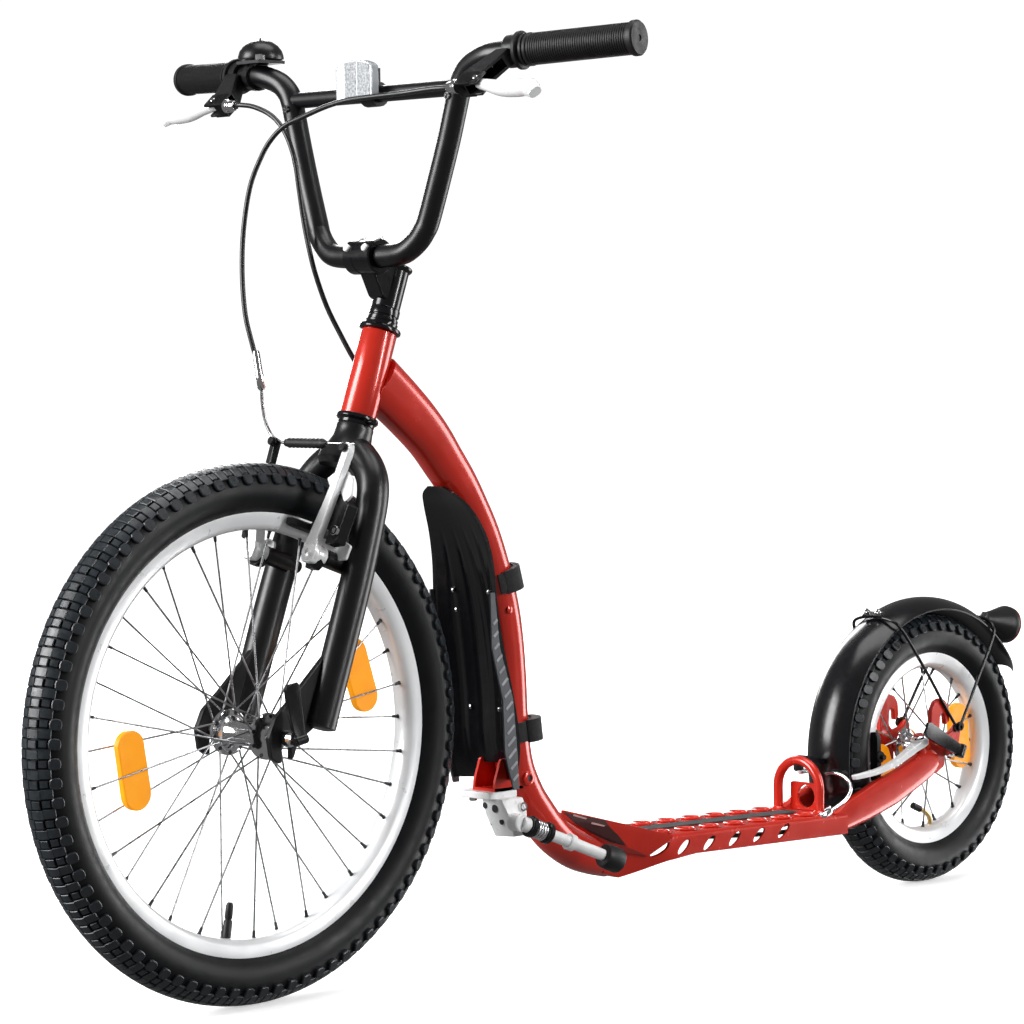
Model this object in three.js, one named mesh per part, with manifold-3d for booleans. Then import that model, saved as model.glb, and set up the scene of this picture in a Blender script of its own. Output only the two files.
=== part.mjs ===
// A kick bike, in millimetres: +Z up, forward along -Y, the rider's left along +X.
// The origin is on the floor, under the middle of the bike's length.
import * as THREE from "three";
import { mergeVertices } from "three/addons/utils/BufferGeometryUtils.js";
import { ConvexGeometry } from "three/addons/geometries/ConvexGeometry.js";
import Module from "manifold-3d";

const wasm = await Module();
wasm.setup();

// Driving sizes. Places on the frame are shares of its reach, heights above the floor too.
const wheelbase = 982.3;
const dropoutReach = 17.7; // from the rear axle back to the end of the frame
const reach = wheelbase + dropoutReach;
const lightReach = 173; // from the rear axle back to the end of the tail light
const steeringTilt = THREE.MathUtils.degToRad(20); // of the steering axis, from upright
const steeringFoot = 55.9; // from the front axle forward to where that axis meets the floor
const gap = 0.3; // between pieces that touch
const overrun = 4; // how far a cutting solid runs past what it cuts
const weld = 1e-4; // vertices closer than this are one
const fine = 48;
const medium = 16;
const coarse = 10;
const thin = 8;

const tyreHalfWidth = 25;
const rimHalfWidth = 13.5;
const rimDepth = 17;
const axleRadius = 5;
const spokeRadius = 1;
const spokeInset = 3; // from the flange's rim to the spoke's hook
const frontTyre = { radius: 255.3, depth: 46.3 };
const rearTyre = { radius: 152.2, depth: 44.6 };
const frontWheel = {
  name: "front",
  tyreRadius: frontTyre.radius,
  rimRadius: frontTyre.radius - frontTyre.depth,
  sides: 40,
  spokes: 36,
  spokeLean: 0.55,
  flangeRadius: 22,
  flangeAt: 27,
  hubHalfLength: 50,
  hubBodyRadius: 12,
  y: 0,
};
const rearWheel = {
  name: "rear",
  tyreRadius: rearTyre.radius,
  rimRadius: rearTyre.radius - rearTyre.depth,
  sides: 32,
  spokes: 20,
  spokeLean: 0.5,
  flangeRadius: 20,
  flangeAt: 20,
  hubHalfLength: 34,
  hubBodyRadius: 12,
  y: wheelbase,
};
const flangeThickness = 3;
const hubNutRadius = 9;

const headTubeRadius = 17.5;
const headTubeBore = 14.5;
const headTubeFoot = 0.5846 * reach; // along the steering axis, from the floor
const headTubeLength = 85.3;
const steererRadius = 12.7;
const cupHeight = 9;
const lowerCupRadius = 18.5;
const upperFlangeRadius = 20.5;
const upperFlangeHeight = 5;
const upperCupRadius = 16;
const upperCupHeight = 10;
const locknutRadius = 15;
const locknutHeight = 14.5;

const bladeRadius = 15.5;
const bladeSpread = 57.2; // from the middle to a blade's centre
const neckRadius = 17;
const dropoutPlate = 6; // thickness of the four dropout plates
const slotWidth = 2 * (axleRadius + gap);

const barRadius = 11.1;
const barHalfWidth = 325.7;
const barRise = 190;
const barSweep = 43.5;
const barForward = 37.5; // from the steering axis forward to the bar's middle
const barHeight = 0.7344 * reach; // along the steering axis, from the floor
const crossbarRadius = 8;
const gripRadius = 15;
const gripFlangeRadius = 18;
const gripEndRadius = 16.5;
const gripFlange = 4;

const tubeRadius = 19.5;
const deckHalfWidth = 49;
const deckWall = 2.5;
const deckHoleRadius = 7.5;
const deckHoleSpread = 31;
const deckHolePitch = 37.5;
const deckHoleCount = 7;
const stayHalfWidth = 8;
const staySpread = 38;
const hoopRadius = 5.25;
const hoopSpread = 30;
const hoopHeight = 55.5;
const guardWall = 2;

// Shares of the frame's reach: its front end is the front axle's place along Y.
const at = (x, yShare, zShare) => new THREE.Vector3(x, yShare * reach, zShare * reach);
const spot = (x, y, z) => new THREE.Vector3(x, y, z);
const X = spot(1, 0, 0);
const Y = spot(0, 1, 0);
const Z = spot(0, 0, 1);

// Solids: joining, cutting and placing.
function solidOf(geometry) {
  const bare = geometry.index ? geometry.toNonIndexed() : geometry.clone();
  bare.deleteAttribute("normal");
  bare.deleteAttribute("uv");
  const merged = mergeVertices(bare, weld);
  const corners = merged.index.array;
  const kept = [];
  for (let i = 0; i < corners.length; i += 3) {
    const [a, b, c] = corners.subarray(i, i + 3);
    if (a !== b && b !== c && c !== a) kept.push(a, b, c);
  }
  const vertProperties = merged.attributes.position.array;
  const shape = (triVerts) =>
    new wasm.Manifold(new wasm.Mesh({ numProp: 3, vertProperties, triVerts }));
  const solid = shape(new Uint32Array(kept));
  return solid.volume() < 0 ? shape(new Uint32Array(kept.reverse())) : solid;
}

function geometryOf(solid) {
  const { vertProperties, triVerts } = solid.getMesh();
  const geometry = new THREE.BufferGeometry();
  geometry.setAttribute("position", new THREE.BufferAttribute(vertProperties, 3));
  geometry.setIndex(new THREE.BufferAttribute(triVerts, 1));
  return geometry;
}

const joined = (...geometries) =>
  geometryOf(geometries.map(solidOf).reduce((whole, piece) => whole.add(piece)));

const cut = (geometry, ...tools) =>
  geometryOf(tools.map(solidOf).reduce((whole, tool) => whole.subtract(tool), solidOf(geometry)));

const mirrored = (geometry) => geometryOf(solidOf(geometry.clone().scale(-1, 1, 1)));

// Turns a shape made along +Y from the origin so that it runs from one point towards another.
function along(geometry, from, to) {
  const way = to.clone().sub(from).normalize();
  geometry.applyQuaternion(new THREE.Quaternion().setFromUnitVectors(Y, way));
  return geometry.translate(from.x, from.y, from.z);
}

function rod(from, to, radius, sides = coarse, endRadius = radius) {
  const length = from.distanceTo(to);
  const geometry = new THREE.CylinderGeometry(endRadius, radius, length, sides);
  return along(geometry.translate(0, length / 2, 0), from, to);
}

// A turned shape about the line between two points; a profile point is [radius, distance].
function turned(profile, from, to, sides = medium) {
  const points = profile.map(([radius, distance]) => new THREE.Vector2(radius, distance));
  return along(new THREE.LatheGeometry(points, sides), from, to);
}

const tubeRing = (inner, outer, from, to, sides = medium) => {
  const length = from.distanceTo(to);
  const profile = [[inner, 0], [outer, 0], [outer, length], [inner, length], [inner, 0]];
  return turned(profile, from, to, sides);
};

const block = (centre, x, y, z) =>
  new THREE.BoxGeometry(x, y, z).translate(centre.x, centre.y, centre.z);

function cornersOf(centre, x, y, z) {
  const corners = [];
  for (const sx of [-x / 2, x / 2])
    for (const sy of [-y / 2, y / 2])
      for (const sz of [-z / 2, z / 2]) corners.push(centre.clone().add(spot(sx, sy, sz)));
  return corners;
}

// A flat plate across X, from an outline of [y, z] points.
function sidePlate(outline, fromX, toX) {
  const shape = new THREE.Shape(outline.map(([y, z]) => new THREE.Vector2(y, z)));
  const options = { depth: toX - fromX, bevelEnabled: false, curveSegments: thin };
  const geometry = new THREE.ExtrudeGeometry(shape, options);
  geometry.applyMatrix4(new THREE.Matrix4().makeBasis(Y, Z, X));
  return geometry.translate(fromX, 0, 0);
}

// A path whose tube has one ring at each of its points.
class Route extends THREE.Curve {
  constructor(points) {
    super();
    this.points = points;
  }
  getPointAt(share) {
    return this.points[Math.round(share * (this.points.length - 1))].clone();
  }
  getTangentAt(share, target = spot(0, 0, 0)) {
    const index = Math.round(share * (this.points.length - 1));
    const here = this.points[index];
    const before = this.points[Math.max(index - 1, 0)];
    const after = this.points[Math.min(index + 1, this.points.length - 1)];
    const arriving = here.clone().sub(before).normalize();
    return target.copy(after.clone().sub(here).normalize().add(arriving).normalize());
  }
}

function sweep(points, radius, sides = coarse) {
  const shape = new THREE.Shape();
  for (let i = 0; i < sides; i++) {
    const turn = (2 * Math.PI * i) / sides;
    const point = [radius * Math.cos(turn), radius * Math.sin(turn)];
    if (i === 0) shape.moveTo(...point);
    else shape.lineTo(...point);
  }
  const extrudePath = new Route(points);
  return new THREE.ExtrudeGeometry(shape, { steps: points.length - 1, extrudePath });
}

const smooth = (points, steps) => new THREE.CatmullRomCurve3(points).getSpacedPoints(steps);

// A closed skin over convex rings of points.
function loft(rings) {
  const points = [];
  const last = rings.length - 1;
  const count = rings[0].length;
  for (let i = 0; i < last; i++)
    for (let j = 0; j < count; j++) {
      const k = (j + 1) % count;
      points.push(rings[i][j], rings[i][k], rings[i + 1][k]);
      points.push(rings[i][j], rings[i + 1][k], rings[i + 1][j]);
    }
  for (let j = 1; j < count - 1; j++) {
    points.push(rings[0][0], rings[0][j + 1], rings[0][j]);
    points.push(rings[last][0], rings[last][j], rings[last][j + 1]);
  }
  return new THREE.BufferGeometry().setFromPoints(points);
}

// A thin sheet between an outer and an inner grid of points.
function sheet(outer, inner) {
  const quads = [];
  const rows = outer.length - 1;
  const columns = outer[0].length - 1;
  for (let i = 0; i < rows; i++)
    for (let j = 0; j < columns; j++) {
      quads.push([outer[i][j], outer[i][j + 1], outer[i + 1][j + 1], outer[i + 1][j]]);
      quads.push([inner[i][j], inner[i + 1][j], inner[i + 1][j + 1], inner[i][j + 1]]);
    }
  for (let i = 0; i < rows; i++) {
    quads.push([outer[i][0], outer[i + 1][0], inner[i + 1][0], inner[i][0]]);
    const [o, n] = [outer[i], outer[i + 1]];
    quads.push([n[columns], o[columns], inner[i][columns], inner[i + 1][columns]]);
  }
  for (let j = 0; j < columns; j++) {
    quads.push([outer[0][j + 1], outer[0][j], inner[0][j], inner[0][j + 1]]);
    quads.push([outer[rows][j], outer[rows][j + 1], inner[rows][j + 1], inner[rows][j]]);
  }
  const points = quads.flatMap(([a, b, c, d]) => [a, b, c, a, c, d]);
  return new THREE.BufferGeometry().setFromPoints(points);
}

// A tube in the middle plane or beside it: each station is [y, z, half depth], all as shares.
function ovalTube(stations, x, halfWidth, spare = 0, sides = medium) {
  const centres = stations.map(([y, z]) => at(x, y, z));
  const rings = stations.map(([, , depthShare], i) => {
    const before = centres[Math.max(i - 1, 0)];
    const after = centres[Math.min(i + 1, centres.length - 1)];
    const across = after.clone().sub(before).normalize().cross(X);
    const depth = depthShare * reach + spare;
    return Array.from({ length: sides }, (_, j) => {
      const turn = (2 * Math.PI * j) / sides;
      const side = X.clone().multiplyScalar((halfWidth + spare) * Math.cos(turn));
      const rise = across.clone().multiplyScalar(depth * Math.sin(turn));
      return centres[i].clone().add(side).add(rise);
    });
  });
  return loft(rings);
}

// The scene: the bike, with a nested group for what is drawn along the steering axis.
const bike = new THREE.Group();
bike.position.y = -(wheelbase + lightReach - frontWheel.tyreRadius) / 2;
const steering = new THREE.Group();
steering.position.y = -steeringFoot;
steering.rotation.x = -steeringTilt;
bike.add(steering);
steering.updateMatrix();
const fromSteering = steering.matrix.clone();
const toSteering = fromSteering.clone().invert();
const inBike = (geometry) => geometry.clone().applyMatrix4(fromSteering);

const finish = (color, roughness, metalness) =>
  new THREE.MeshStandardMaterial({ color, roughness, metalness });
const redPaint = finish("#c4271d", 0.32, 0.1);
const blackPaint = finish("#141416", 0.35, 0.1);
const blackPlastic = finish("#1b1c1e", 0.55, 0);
const blackRubber = finish("#232427", 0.85, 0);
const tyreRubber = finish("#2b2d30", 0.9, 0);
const aluminium = finish("#d4d6d8", 0.35, 0.9);
const steel = finish("#b9bcbf", 0.3, 0.95);
const clearPlastic = finish("#dfe3e4", 0.2, 0);
const redLens = finish("#7d1512", 0.2, 0);
const greyStrip = finish("#3f4144", 0.9, 0);

function add(name, geometry, material, parent = bike) {
  const mesh = new THREE.Mesh(geometryOf(solidOf(geometry)), material);
  mesh.name = name;
  parent.add(mesh);
  return mesh;
}

// Wheels
const tyreShares = [
  [0, -0.5], [0.2, -0.88], [0.5, -1], [0.84, -0.72], [1, -0.24],
  [1, 0.24], [0.84, 0.72], [0.5, 1], [0.2, 0.88], [0, 0.5], [0, -0.5],
];
const rimShares = [
  [1, -1], [0.3, -0.95], [0, -0.5], [0, 0.5], [0.3, 0.95], [1, 1], [0.7, 0], [1, -1],
];

function hub(wheel) {
  const { flangeRadius, flangeAt, hubBodyRadius } = wheel;
  const end = wheel.hubHalfLength - gap;
  const far = flangeAt + flangeThickness;
  const bore = axleRadius + gap;
  const half = [[bore, end], [hubNutRadius, end], [hubNutRadius, far], [flangeRadius, far]];
  half.push([flangeRadius, flangeAt], [hubBodyRadius, flangeAt]);
  const back = half.map(([radius, x]) => [radius, -x]).reverse();
  return turned([...half, ...back, half[0]], spot(0, 0, 0), X, coarse);
}

function hubAndSpokes(wheel) {
  const from = wheel.flangeRadius - spokeInset;
  const to = (wheel.rimRadius - rimDepth) * Math.cos(Math.PI / wheel.sides) - gap;
  const hookAt = wheel.flangeAt + flangeThickness / 2;
  const spokes = [];
  for (let i = 0; i < wheel.spokes; i++) {
    const side = i % 2 ? 1 : -1;
    const lean = (i % 4 < 2 ? 1 : -1) * wheel.spokeLean;
    const turn = (2 * Math.PI * i) / wheel.spokes;
    const end = spot(side * spokeInset, to * Math.cos(turn), to * Math.sin(turn));
    const hookTurn = turn + lean;
    const hook = spot(side * hookAt, from * Math.cos(hookTurn), from * Math.sin(hookTurn));
    spokes.push(rod(hook, end, spokeRadius, 3));
  }
  return joined(hub(wheel), ...spokes);
}

function buildWheel(wheel) {
  const { name, tyreRadius, rimRadius } = wheel;
  const group = new THREE.Group();
  group.position.set(0, wheel.y, tyreRadius);
  bike.add(group);
  const foot = rimRadius + gap;
  const tyreProfile = tyreShares.map(([up, out]) => [
    foot + up * (tyreRadius - foot),
    out * tyreHalfWidth,
  ]);
  const rimFoot = rimRadius - rimDepth;
  const rimProfile = rimShares.map(([up, out]) => [rimFoot + up * rimDepth, out * rimHalfWidth]);
  const centre = spot(0, 0, 0);
  add(`${name}_tyre`, turned(tyreProfile, centre, X, wheel.sides), tyreRubber, group);
  add(`${name}_rim`, turned(rimProfile, centre, X, wheel.sides), aluminium, group);
  add(`${name}_hub`, hubAndSpokes(wheel), steel, group);
}
buildWheel(frontWheel);
buildWheel(rearWheel);

// Axles with their quick releases
const axleNutRadius = 9;
const axleNutHeight = 10;
const camLength = 14;
const camRadius = 8;
const frontAxle = spot(0, frontWheel.y, frontWheel.tyreRadius);
const rearAxle = spot(0, rearWheel.y, rearWheel.tyreRadius);
const outerFace = (wheel) => wheel.hubHalfLength + dropoutPlate;
const camFace = (wheel) => outerFace(wheel) + gap + camLength;

function axle(wheel, centre) {
  const face = outerFace(wheel) + gap;
  const shift = (x) => centre.clone().add(spot(x, 0, 0));
  const nut = rod(shift(-face - axleNutHeight), shift(-face), axleNutRadius, 6);
  const shaft = rod(shift(-face - gap), shift(face + gap), axleRadius, coarse);
  const cam = rod(shift(face), shift(camFace(wheel)), camRadius, coarse);
  return joined(nut, shaft, cam);
}
add("front_axle", axle(frontWheel, frontAxle), steel);
add("rear_axle", axle(rearWheel, rearAxle), steel);

// A quick release lever, drawn upwards from its hinge, with its barrel on that hinge
const quickLever = { barrelRadius: 5, width: 15, tipWidth: 17, thickness: 5, tipIn: 1 };
function quickReleaseLever(length) {
  const { barrelRadius, width, tipWidth, thickness, tipIn } = quickLever;
  const root = spot(0, 0, thickness / 2);
  const rootBlock = cornersOf(root, thickness, width, thickness);
  const tip = spot(-tipIn, 0, length - thickness);
  const tipBlock = cornersOf(tip, thickness, tipWidth, 2 * thickness);
  const barrel = rod(spot(0, -width / 2, 0), spot(0, width / 2, 0), barrelRadius, coarse);
  return joined(new ConvexGeometry([...rootBlock, ...tipBlock]), barrel);
}
const leverHinge = (wheel) => camFace(wheel) + gap + quickLever.barrelRadius;
function placeLever(name, wheel, centre, length, turn) {
  const mesh = add(name, quickReleaseLever(length), blackPaint);
  mesh.position.copy(centre).add(spot(leverHinge(wheel), 0, 0));
  mesh.rotation.x = turn;
}
placeLever("front_quick_release_lever", frontWheel, frontAxle, 55, Math.PI / 18);
placeLever("rear_quick_release_lever", rearWheel, rearAxle, 70, THREE.MathUtils.degToRad(63));

// Head tube and headset, along the steering axis
const onAxis = (height) => spot(0, 0, height);
const headTubeTop = headTubeFoot + headTubeLength;
const boreRadius = steererRadius + gap;
const headTube = tubeRing(
  headTubeBore, headTubeRadius, onAxis(headTubeFoot), onAxis(headTubeTop), fine / 2);
add("head_tube", headTube, redPaint, steering);
const lowerCupTop = headTubeFoot - gap;
const lowerCupFoot = lowerCupTop - cupHeight;
add("headset_lower_cup",
  tubeRing(boreRadius, lowerCupRadius, onAxis(lowerCupFoot), onAxis(lowerCupTop)),
  blackPaint, steering);
const upperCupFoot = headTubeTop + gap;
const upperCupProfile = [
  [boreRadius, 0], [upperFlangeRadius, 0], [upperFlangeRadius, upperFlangeHeight],
  [upperCupRadius, upperFlangeHeight], [upperCupRadius, upperCupHeight],
  [boreRadius, upperCupHeight], [boreRadius, 0],
];
add("headset_upper_cup",
  turned(upperCupProfile, onAxis(upperCupFoot), onAxis(upperCupFoot + upperCupHeight)),
  blackPaint, steering);
const locknutFoot = upperCupFoot + upperCupHeight + gap;
const locknutTop = locknutFoot + locknutHeight;
add("headset_locknut",
  tubeRing(boreRadius, locknutRadius, onAxis(locknutFoot), onAxis(locknutTop)),
  blackPaint, steering);

// Fork: [outward share of the blades' spread, height share of the reach]
const bladeShares = [
  [1, 0.2793], [1, 0.4], [0.953, 0.463], [0.909, 0.502], [0.769, 0.522],
  [0.507, 0.541], [0.22, 0.5495],
];
const forkOutlineShares = [
  [0.05, 0.33], [0.008, 0.292], [-0.012, 0.276], [-0.021, 0.258], [-0.018, 0.236],
  [-0.008, 0.2335], [0.009, 0.2365], [0.014, 0.25], [0.034, 0.262], [0.056, 0.3],
];
const dropoutMouthShare = [0, -0.003, -0.03]; // from the axle down to the slot's mouth
const studRadius = 6;
const studSpread = 43;
const studHeight = 0.434 * reach;
const studFront = 52;
const neckTop = lowerCupFoot - gap;
const bladePoint = (side) => ([out, up]) => spot(side * out * bladeSpread, 0, up * reach);

function forkDropout(side) {
  const outline = forkOutlineShares.map(([y, z]) => [y * reach, z * reach]);
  const inner = frontWheel.hubHalfLength;
  const from = side > 0 ? inner : -inner - dropoutPlate;
  const plate = sidePlate(outline, from, from + dropoutPlate);
  const way = at(...dropoutMouthShare);
  const seat = frontAxle.clone().setX(from - overrun);
  const far = seat.clone().add(spot(dropoutPlate + 2 * overrun, 0, 0));
  const mouth = frontAxle.clone().setX(from + dropoutPlate / 2).add(way);
  const slot = block(mouth, dropoutPlate + 2 * overrun, slotWidth, 2 * way.length());
  return cut(plate, rod(seat, far, slotWidth / 2), slot).applyMatrix4(toSteering);
}

function fork() {
  const left = bladeShares.map(bladePoint(1));
  const right = bladeShares.map(bladePoint(-1)).reverse();
  const blades = sweep([...left, ...right], bladeRadius, 12);
  const crown = onAxis(bladeShares.at(-1)[1] * reach);
  const neck = rod(crown, onAxis(neckTop), neckRadius, medium);
  const steerer = rod(crown, onAxis(locknutTop), steererRadius, medium);
  const studs = [-1, 1].map((side) =>
    rod(spot(side * studSpread, 0, studHeight), spot(side * studSpread, -studFront, studHeight),
      studRadius));
  return joined(blades, neck, steerer, forkDropout(1), forkDropout(-1), ...studs);
}
add("fork", fork(), blackPaint, steering);

// Stem
const stemRadius = 14;
const stemCapRadius = 16.5;
const stemCapHeight = 3;
const stemTop = 0.738 * reach;
const clampRadius = 17;
const clampHalfWidth = 19;
const wedgeHalfWidth = 11;
const barMiddle = spot(0, -barForward, barHeight);
const wedgeShares = [[-0.0156, 0.699], [-0.035, 0.722], [-0.03, 0.748], [0, 0.738], [0, 0.699]];
function stem() {
  const foot = locknutTop + gap;
  const column = rod(onAxis(foot), onAxis(stemTop), stemRadius, medium);
  const cap = rod(onAxis(stemTop - stemCapHeight), onAxis(stemTop), stemCapRadius, medium);
  const outline = wedgeShares.map(([y, z]) => [y * reach, z * reach]);
  const wedge = sidePlate(outline, -wedgeHalfWidth, wedgeHalfWidth);
  const side = spot(clampHalfWidth, 0, 0);
  const over = spot(clampHalfWidth + overrun, 0, 0);
  const clamp = rod(barMiddle.clone().sub(side), barMiddle.clone().add(side), clampRadius, medium);
  const bore = rod(barMiddle.clone().sub(over), barMiddle.clone().add(over), barRadius + gap, 24);
  return cut(joined(column, cap, wedge, clamp), bore);
}
add("stem", stem(), blackPaint, steering);

// Handlebar: [outward, back, up] shares of the bar's half width, sweep and rise
const barShares = [
  [0.06, 0, 0], [0.13, 0.005, 0.004], [0.19, 0.04, 0.045], [0.248, 0.147, 0.168],
  [0.288, 0.185, 0.365], [0.328, 0.223, 0.562], [0.373, 0.257, 0.826], [0.42, 0.22, 0.925],
  [0.499, 0.175, 0.962], [0.56, 0.215, 0.97],
];
const gripStartShare = [0.621, 0.276, 0.974];
const barTip = [1, 1, 1];
const barCentre = barMiddle.clone().applyMatrix4(fromSteering);
const barPoint = ([out, back, up]) =>
  barCentre.clone().add(spot(out * barHalfWidth, back * barSweep, up * barRise));
const flip = (point) => point.clone().setX(-point.x);
const gripStart = barPoint(gripStartShare);
const gripTip = barPoint(barTip);
const gripLength = gripStart.distanceTo(gripTip);
const gripWay = gripTip.clone().sub(gripStart).normalize();
const barEnd = gripTip.clone().addScaledVector(gripWay, -gripFlange - gap);
const halfBar = [...barShares.map(barPoint), gripStart];
const bent = smooth([...halfBar.map(flip).reverse(), ...halfBar], 32);
const barRoute = [flip(barEnd), ...bent, barEnd];
const crossbarShare = [0.37, 0.255, 0.82];
const crossbarEnd = barPoint(crossbarShare);
const barTube = (spare) => sweep(barRoute, barRadius + spare, coarse);
add("handlebar",
  joined(barTube(0), rod(flip(crossbarEnd), crossbarEnd, crossbarRadius, coarse)), blackPaint);

function grip() {
  const bore = barRadius + gap;
  const seat = gripLength - gripFlange;
  const profile = [
    [bore, 0], [gripFlangeRadius, 0], [gripFlangeRadius, gripFlange], [gripRadius, gripFlange],
    [gripRadius, seat], [gripEndRadius, seat], [gripEndRadius, gripLength], [0, gripLength],
    [0, seat], [bore, seat], [bore, 0],
  ];
  return turned(profile, gripStart, gripTip, medium);
}
add("left_grip", grip(), blackRubber);
add("right_grip", mirrored(grip()), blackRubber);

// Main tube: [y, z, half depth of the section]; it is deeper where it meets the head tube
const plainDepth = tubeRadius / reach;
const mainTubeShares = [
  [0.168, 0.584, 0.0265], [0.192, 0.565, 0.0258], [0.2155, 0.545, 0.0248],
  [0.2365, 0.5245, 0.0232], [0.254, 0.503, 0.022], [0.2705, 0.481, 0.021],
  [0.2865, 0.4555, plainDepth], [0.3005, 0.4275, plainDepth], [0.312, 0.3945, plainDepth],
  [0.322, 0.358, plainDepth], [0.3285, 0.322, plainDepth], [0.333, 0.28, plainDepth],
  [0.3353, 0.242, plainDepth], [0.343, 0.197, plainDepth], [0.3585, 0.165, plainDepth],
  [0.375, 0.1425, plainDepth], [0.3965, 0.1185, plainDepth], [0.4235, 0.1, plainDepth],
  [0.4475, 0.0905, plainDepth], [0.474, 0.084, plainDepth],
];
const mainTube = (spare) => ovalTube(mainTubeShares, 0, tubeRadius, spare);
const headCutter = inBike(
  rod(onAxis(lowerCupFoot - overrun), onAxis(locknutTop), headTubeRadius + gap, fine / 2));
const cupCutter = inBike(
  rod(onAxis(lowerCupFoot - overrun), onAxis(headTubeFoot), lowerCupRadius + gap, medium));
add("main_tube", cut(mainTube(0), headCutter, cupCutter), redPaint);

// Brake cables, with the curved metal lead and the boot at each brake's end
const cableRadius = 2.5;
const bootRadius = 4.5;
const wireRadius = 1.2;
const cableSlot = 8; // width of the slot in each brake arm's head
const frontCableRoute = [
  [153.2, 125.9, 855.2], [146, 125.9, 855.2], [128, 124.5, 855], [95, 121, 853],
  [60, 119, 852], [25, 117, 850.5], [-5, 115, 846], [-38, 113, 837.5], [-63, 111, 830],
  [-79, 107, 817], [-86, 100, 800],
  [-91, 90, 772], [-91, 81, 731], [-87, 75, 690], [-80, 72, 650], [-72, 73, 622],
  [-67, 76, 600], [-65, 78, 580], [-64.5, 80, 558], [-63.5, 81.5, 542], [-60, 82.4, 530],
  [-54, 82.6, 526], [-36, 82.6, 525.8],
];
const rearCableRoute = [
  [-153.2, 125.9, 855.2], [-146, 126, 855.2], [-131, 131, 852.5], [-112, 137, 843],
  [-95, 139, 826], [-84, 141, 800], [-80, 143, 770], [-76, 145, 738], [-70, 146, 712],
  [-65, 149, 688], [-57, 156, 656], [-45, 163, 628],
  [-33, 170, 603], [-27, 184, 582], [-26, 205, 563], [-26, 228, 540], [-26, 250, 513],
  [-26, 270, 482], [-26, 287, 450], [-26, 302, 415], [-26, 316, 375], [-26, 328, 335],
  [-26, 335, 295], [-26, 337, 258], [-26, 341, 225], [-26, 348, 193], [-26, 360, 168],
  [-26, 378, 143], [-27, 405, 118], [-29, 437, 97], [-33, 470, 90], [-36, 500, 88],
  [-34, 535, 89], [-22, 575, 90], [0, 615, 90], [22, 650, 90], [36, 690, 89], [41, 725, 90],
  [43, 748, 95], [44.5, 766, 101.5], [47, 787, 110], [53, 804, 119], [57.5, 814, 129],
  [57, 820, 135], [52, 822.4, 137.3], [40, 822.5, 137], [22, 822.5, 137],
];
const cable = (route, steps, spare = 0) =>
  sweep(smooth(route.map(([x, y, z]) => spot(x, y, z)), steps), cableRadius + spare, thin);
function cableWithLead(route, steps, bootLength, wireLength) {
  const end = spot(...route.at(-1));
  const way = X.clone().multiplyScalar(Math.sign(end.x - route.at(-2)[0]));
  const bootEnd = end.clone().addScaledVector(way, bootLength);
  const wireEnd = bootEnd.clone().addScaledVector(way, wireLength);
  const boot = rod(end, bootEnd, bootRadius, thin);
  return joined(cable(route, steps), boot, rod(end, wireEnd, wireRadius, thin));
}
const frontCable = { steps: 34, boot: 66, wire: 30 };
const rearCable = { steps: 58, boot: 44, wire: 26 };
add("front_brake_cable",
  cableWithLead(frontCableRoute, frontCable.steps, frontCable.boot, frontCable.wire), blackPlastic);
add("rear_brake_cable",
  cableWithLead(rearCableRoute, rearCable.steps, rearCable.boot, rearCable.wire), blackPlastic);

// Deck: a channel with flared holes, a boxed front end and a wing up each side of the tube
const deckFront = { y: 0.52, top: 0.1078 };
const deckRear = { y: 0.8, top: 0.1003 };
const deckSlope = (deckFront.top - deckRear.top) / (deckRear.y - deckFront.y);
const deckTop = (y) => deckFront.top - deckSlope * (y - deckFront.y);
const deckSkinShares = [
  [0.4745, 0.41, 0.0665, 0.1035], [0.5, 0.76, 0.0735, 0.1067],
  [deckFront.y, 1, 0.08, deckFront.top], [0.56, 1, 0.0835, deckTop(0.56)],
  [deckRear.y, 1, 0.0775, deckRear.top],
];
const deckHollowShares = [
  [0.486, 0.42, 0.0725, 0.1], [0.519, 0.94, 0.083, 0.105], [0.521, 0.95, 0.03, 0.105],
  [0.805, 0.95, 0.03, 0.0976],
];
const wingShares = [
  [0.26, 0.398, 0.144], [0.26, 0.398, 0.135], [0.3, 0.43, 0.127], [0.98, 0.528, 0.1075],
  [0.98, 0.528, 0.1], [0.45, 0.47, 0.106], [0.4, 0.47, 0.092],
];
const sideHoleShares = [0.54, 0.58, 0.619, 0.657, 0.696];
const sideHoleRise = 0.0925;
const sideHole = { halfLength: 11, halfHeight: 4, slant: Math.PI / 5 };
const firstDeckHole = 0.525;

function box(rows) {
  return loft(rows.map(([y, width, low, high]) => {
    const side = width * deckHalfWidth;
    return [at(-side, y, high), at(side, y, high), at(side, y, low), at(-side, y, low)];
  }));
}
function wing(side) {
  return new ConvexGeometry(wingShares.map(([x, y, z]) => at(side * x * deckHalfWidth, y, z)));
}
function deckHoles() {
  const holes = [];
  for (let i = 0; i < deckHoleCount; i++)
    for (const x of [-deckHoleSpread, deckHoleSpread]) {
      const top = at(x, firstDeckHole, deckFront.top).add(spot(0, i * deckHolePitch, overrun));
      const foot = top.clone().add(spot(0, 0, -4 * overrun));
      holes.push(rod(foot, top, deckHoleRadius, coarse));
    }
  return holes;
}
function sideHoles() {
  return sideHoleShares.map((y) => {
    const length = 2 * (deckHalfWidth + overrun);
    const hole = new THREE.CylinderGeometry(1, 1, length, thin).rotateZ(-Math.PI / 2);
    hole.scale(1, sideHole.halfLength, sideHole.halfHeight).rotateX(sideHole.slant);
    const centre = at(0, y, sideHoleRise);
    return hole.translate(centre.x, centre.y, centre.z);
  });
}
const deckBody = joined(box(deckSkinShares), wing(1), wing(-1));
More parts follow.
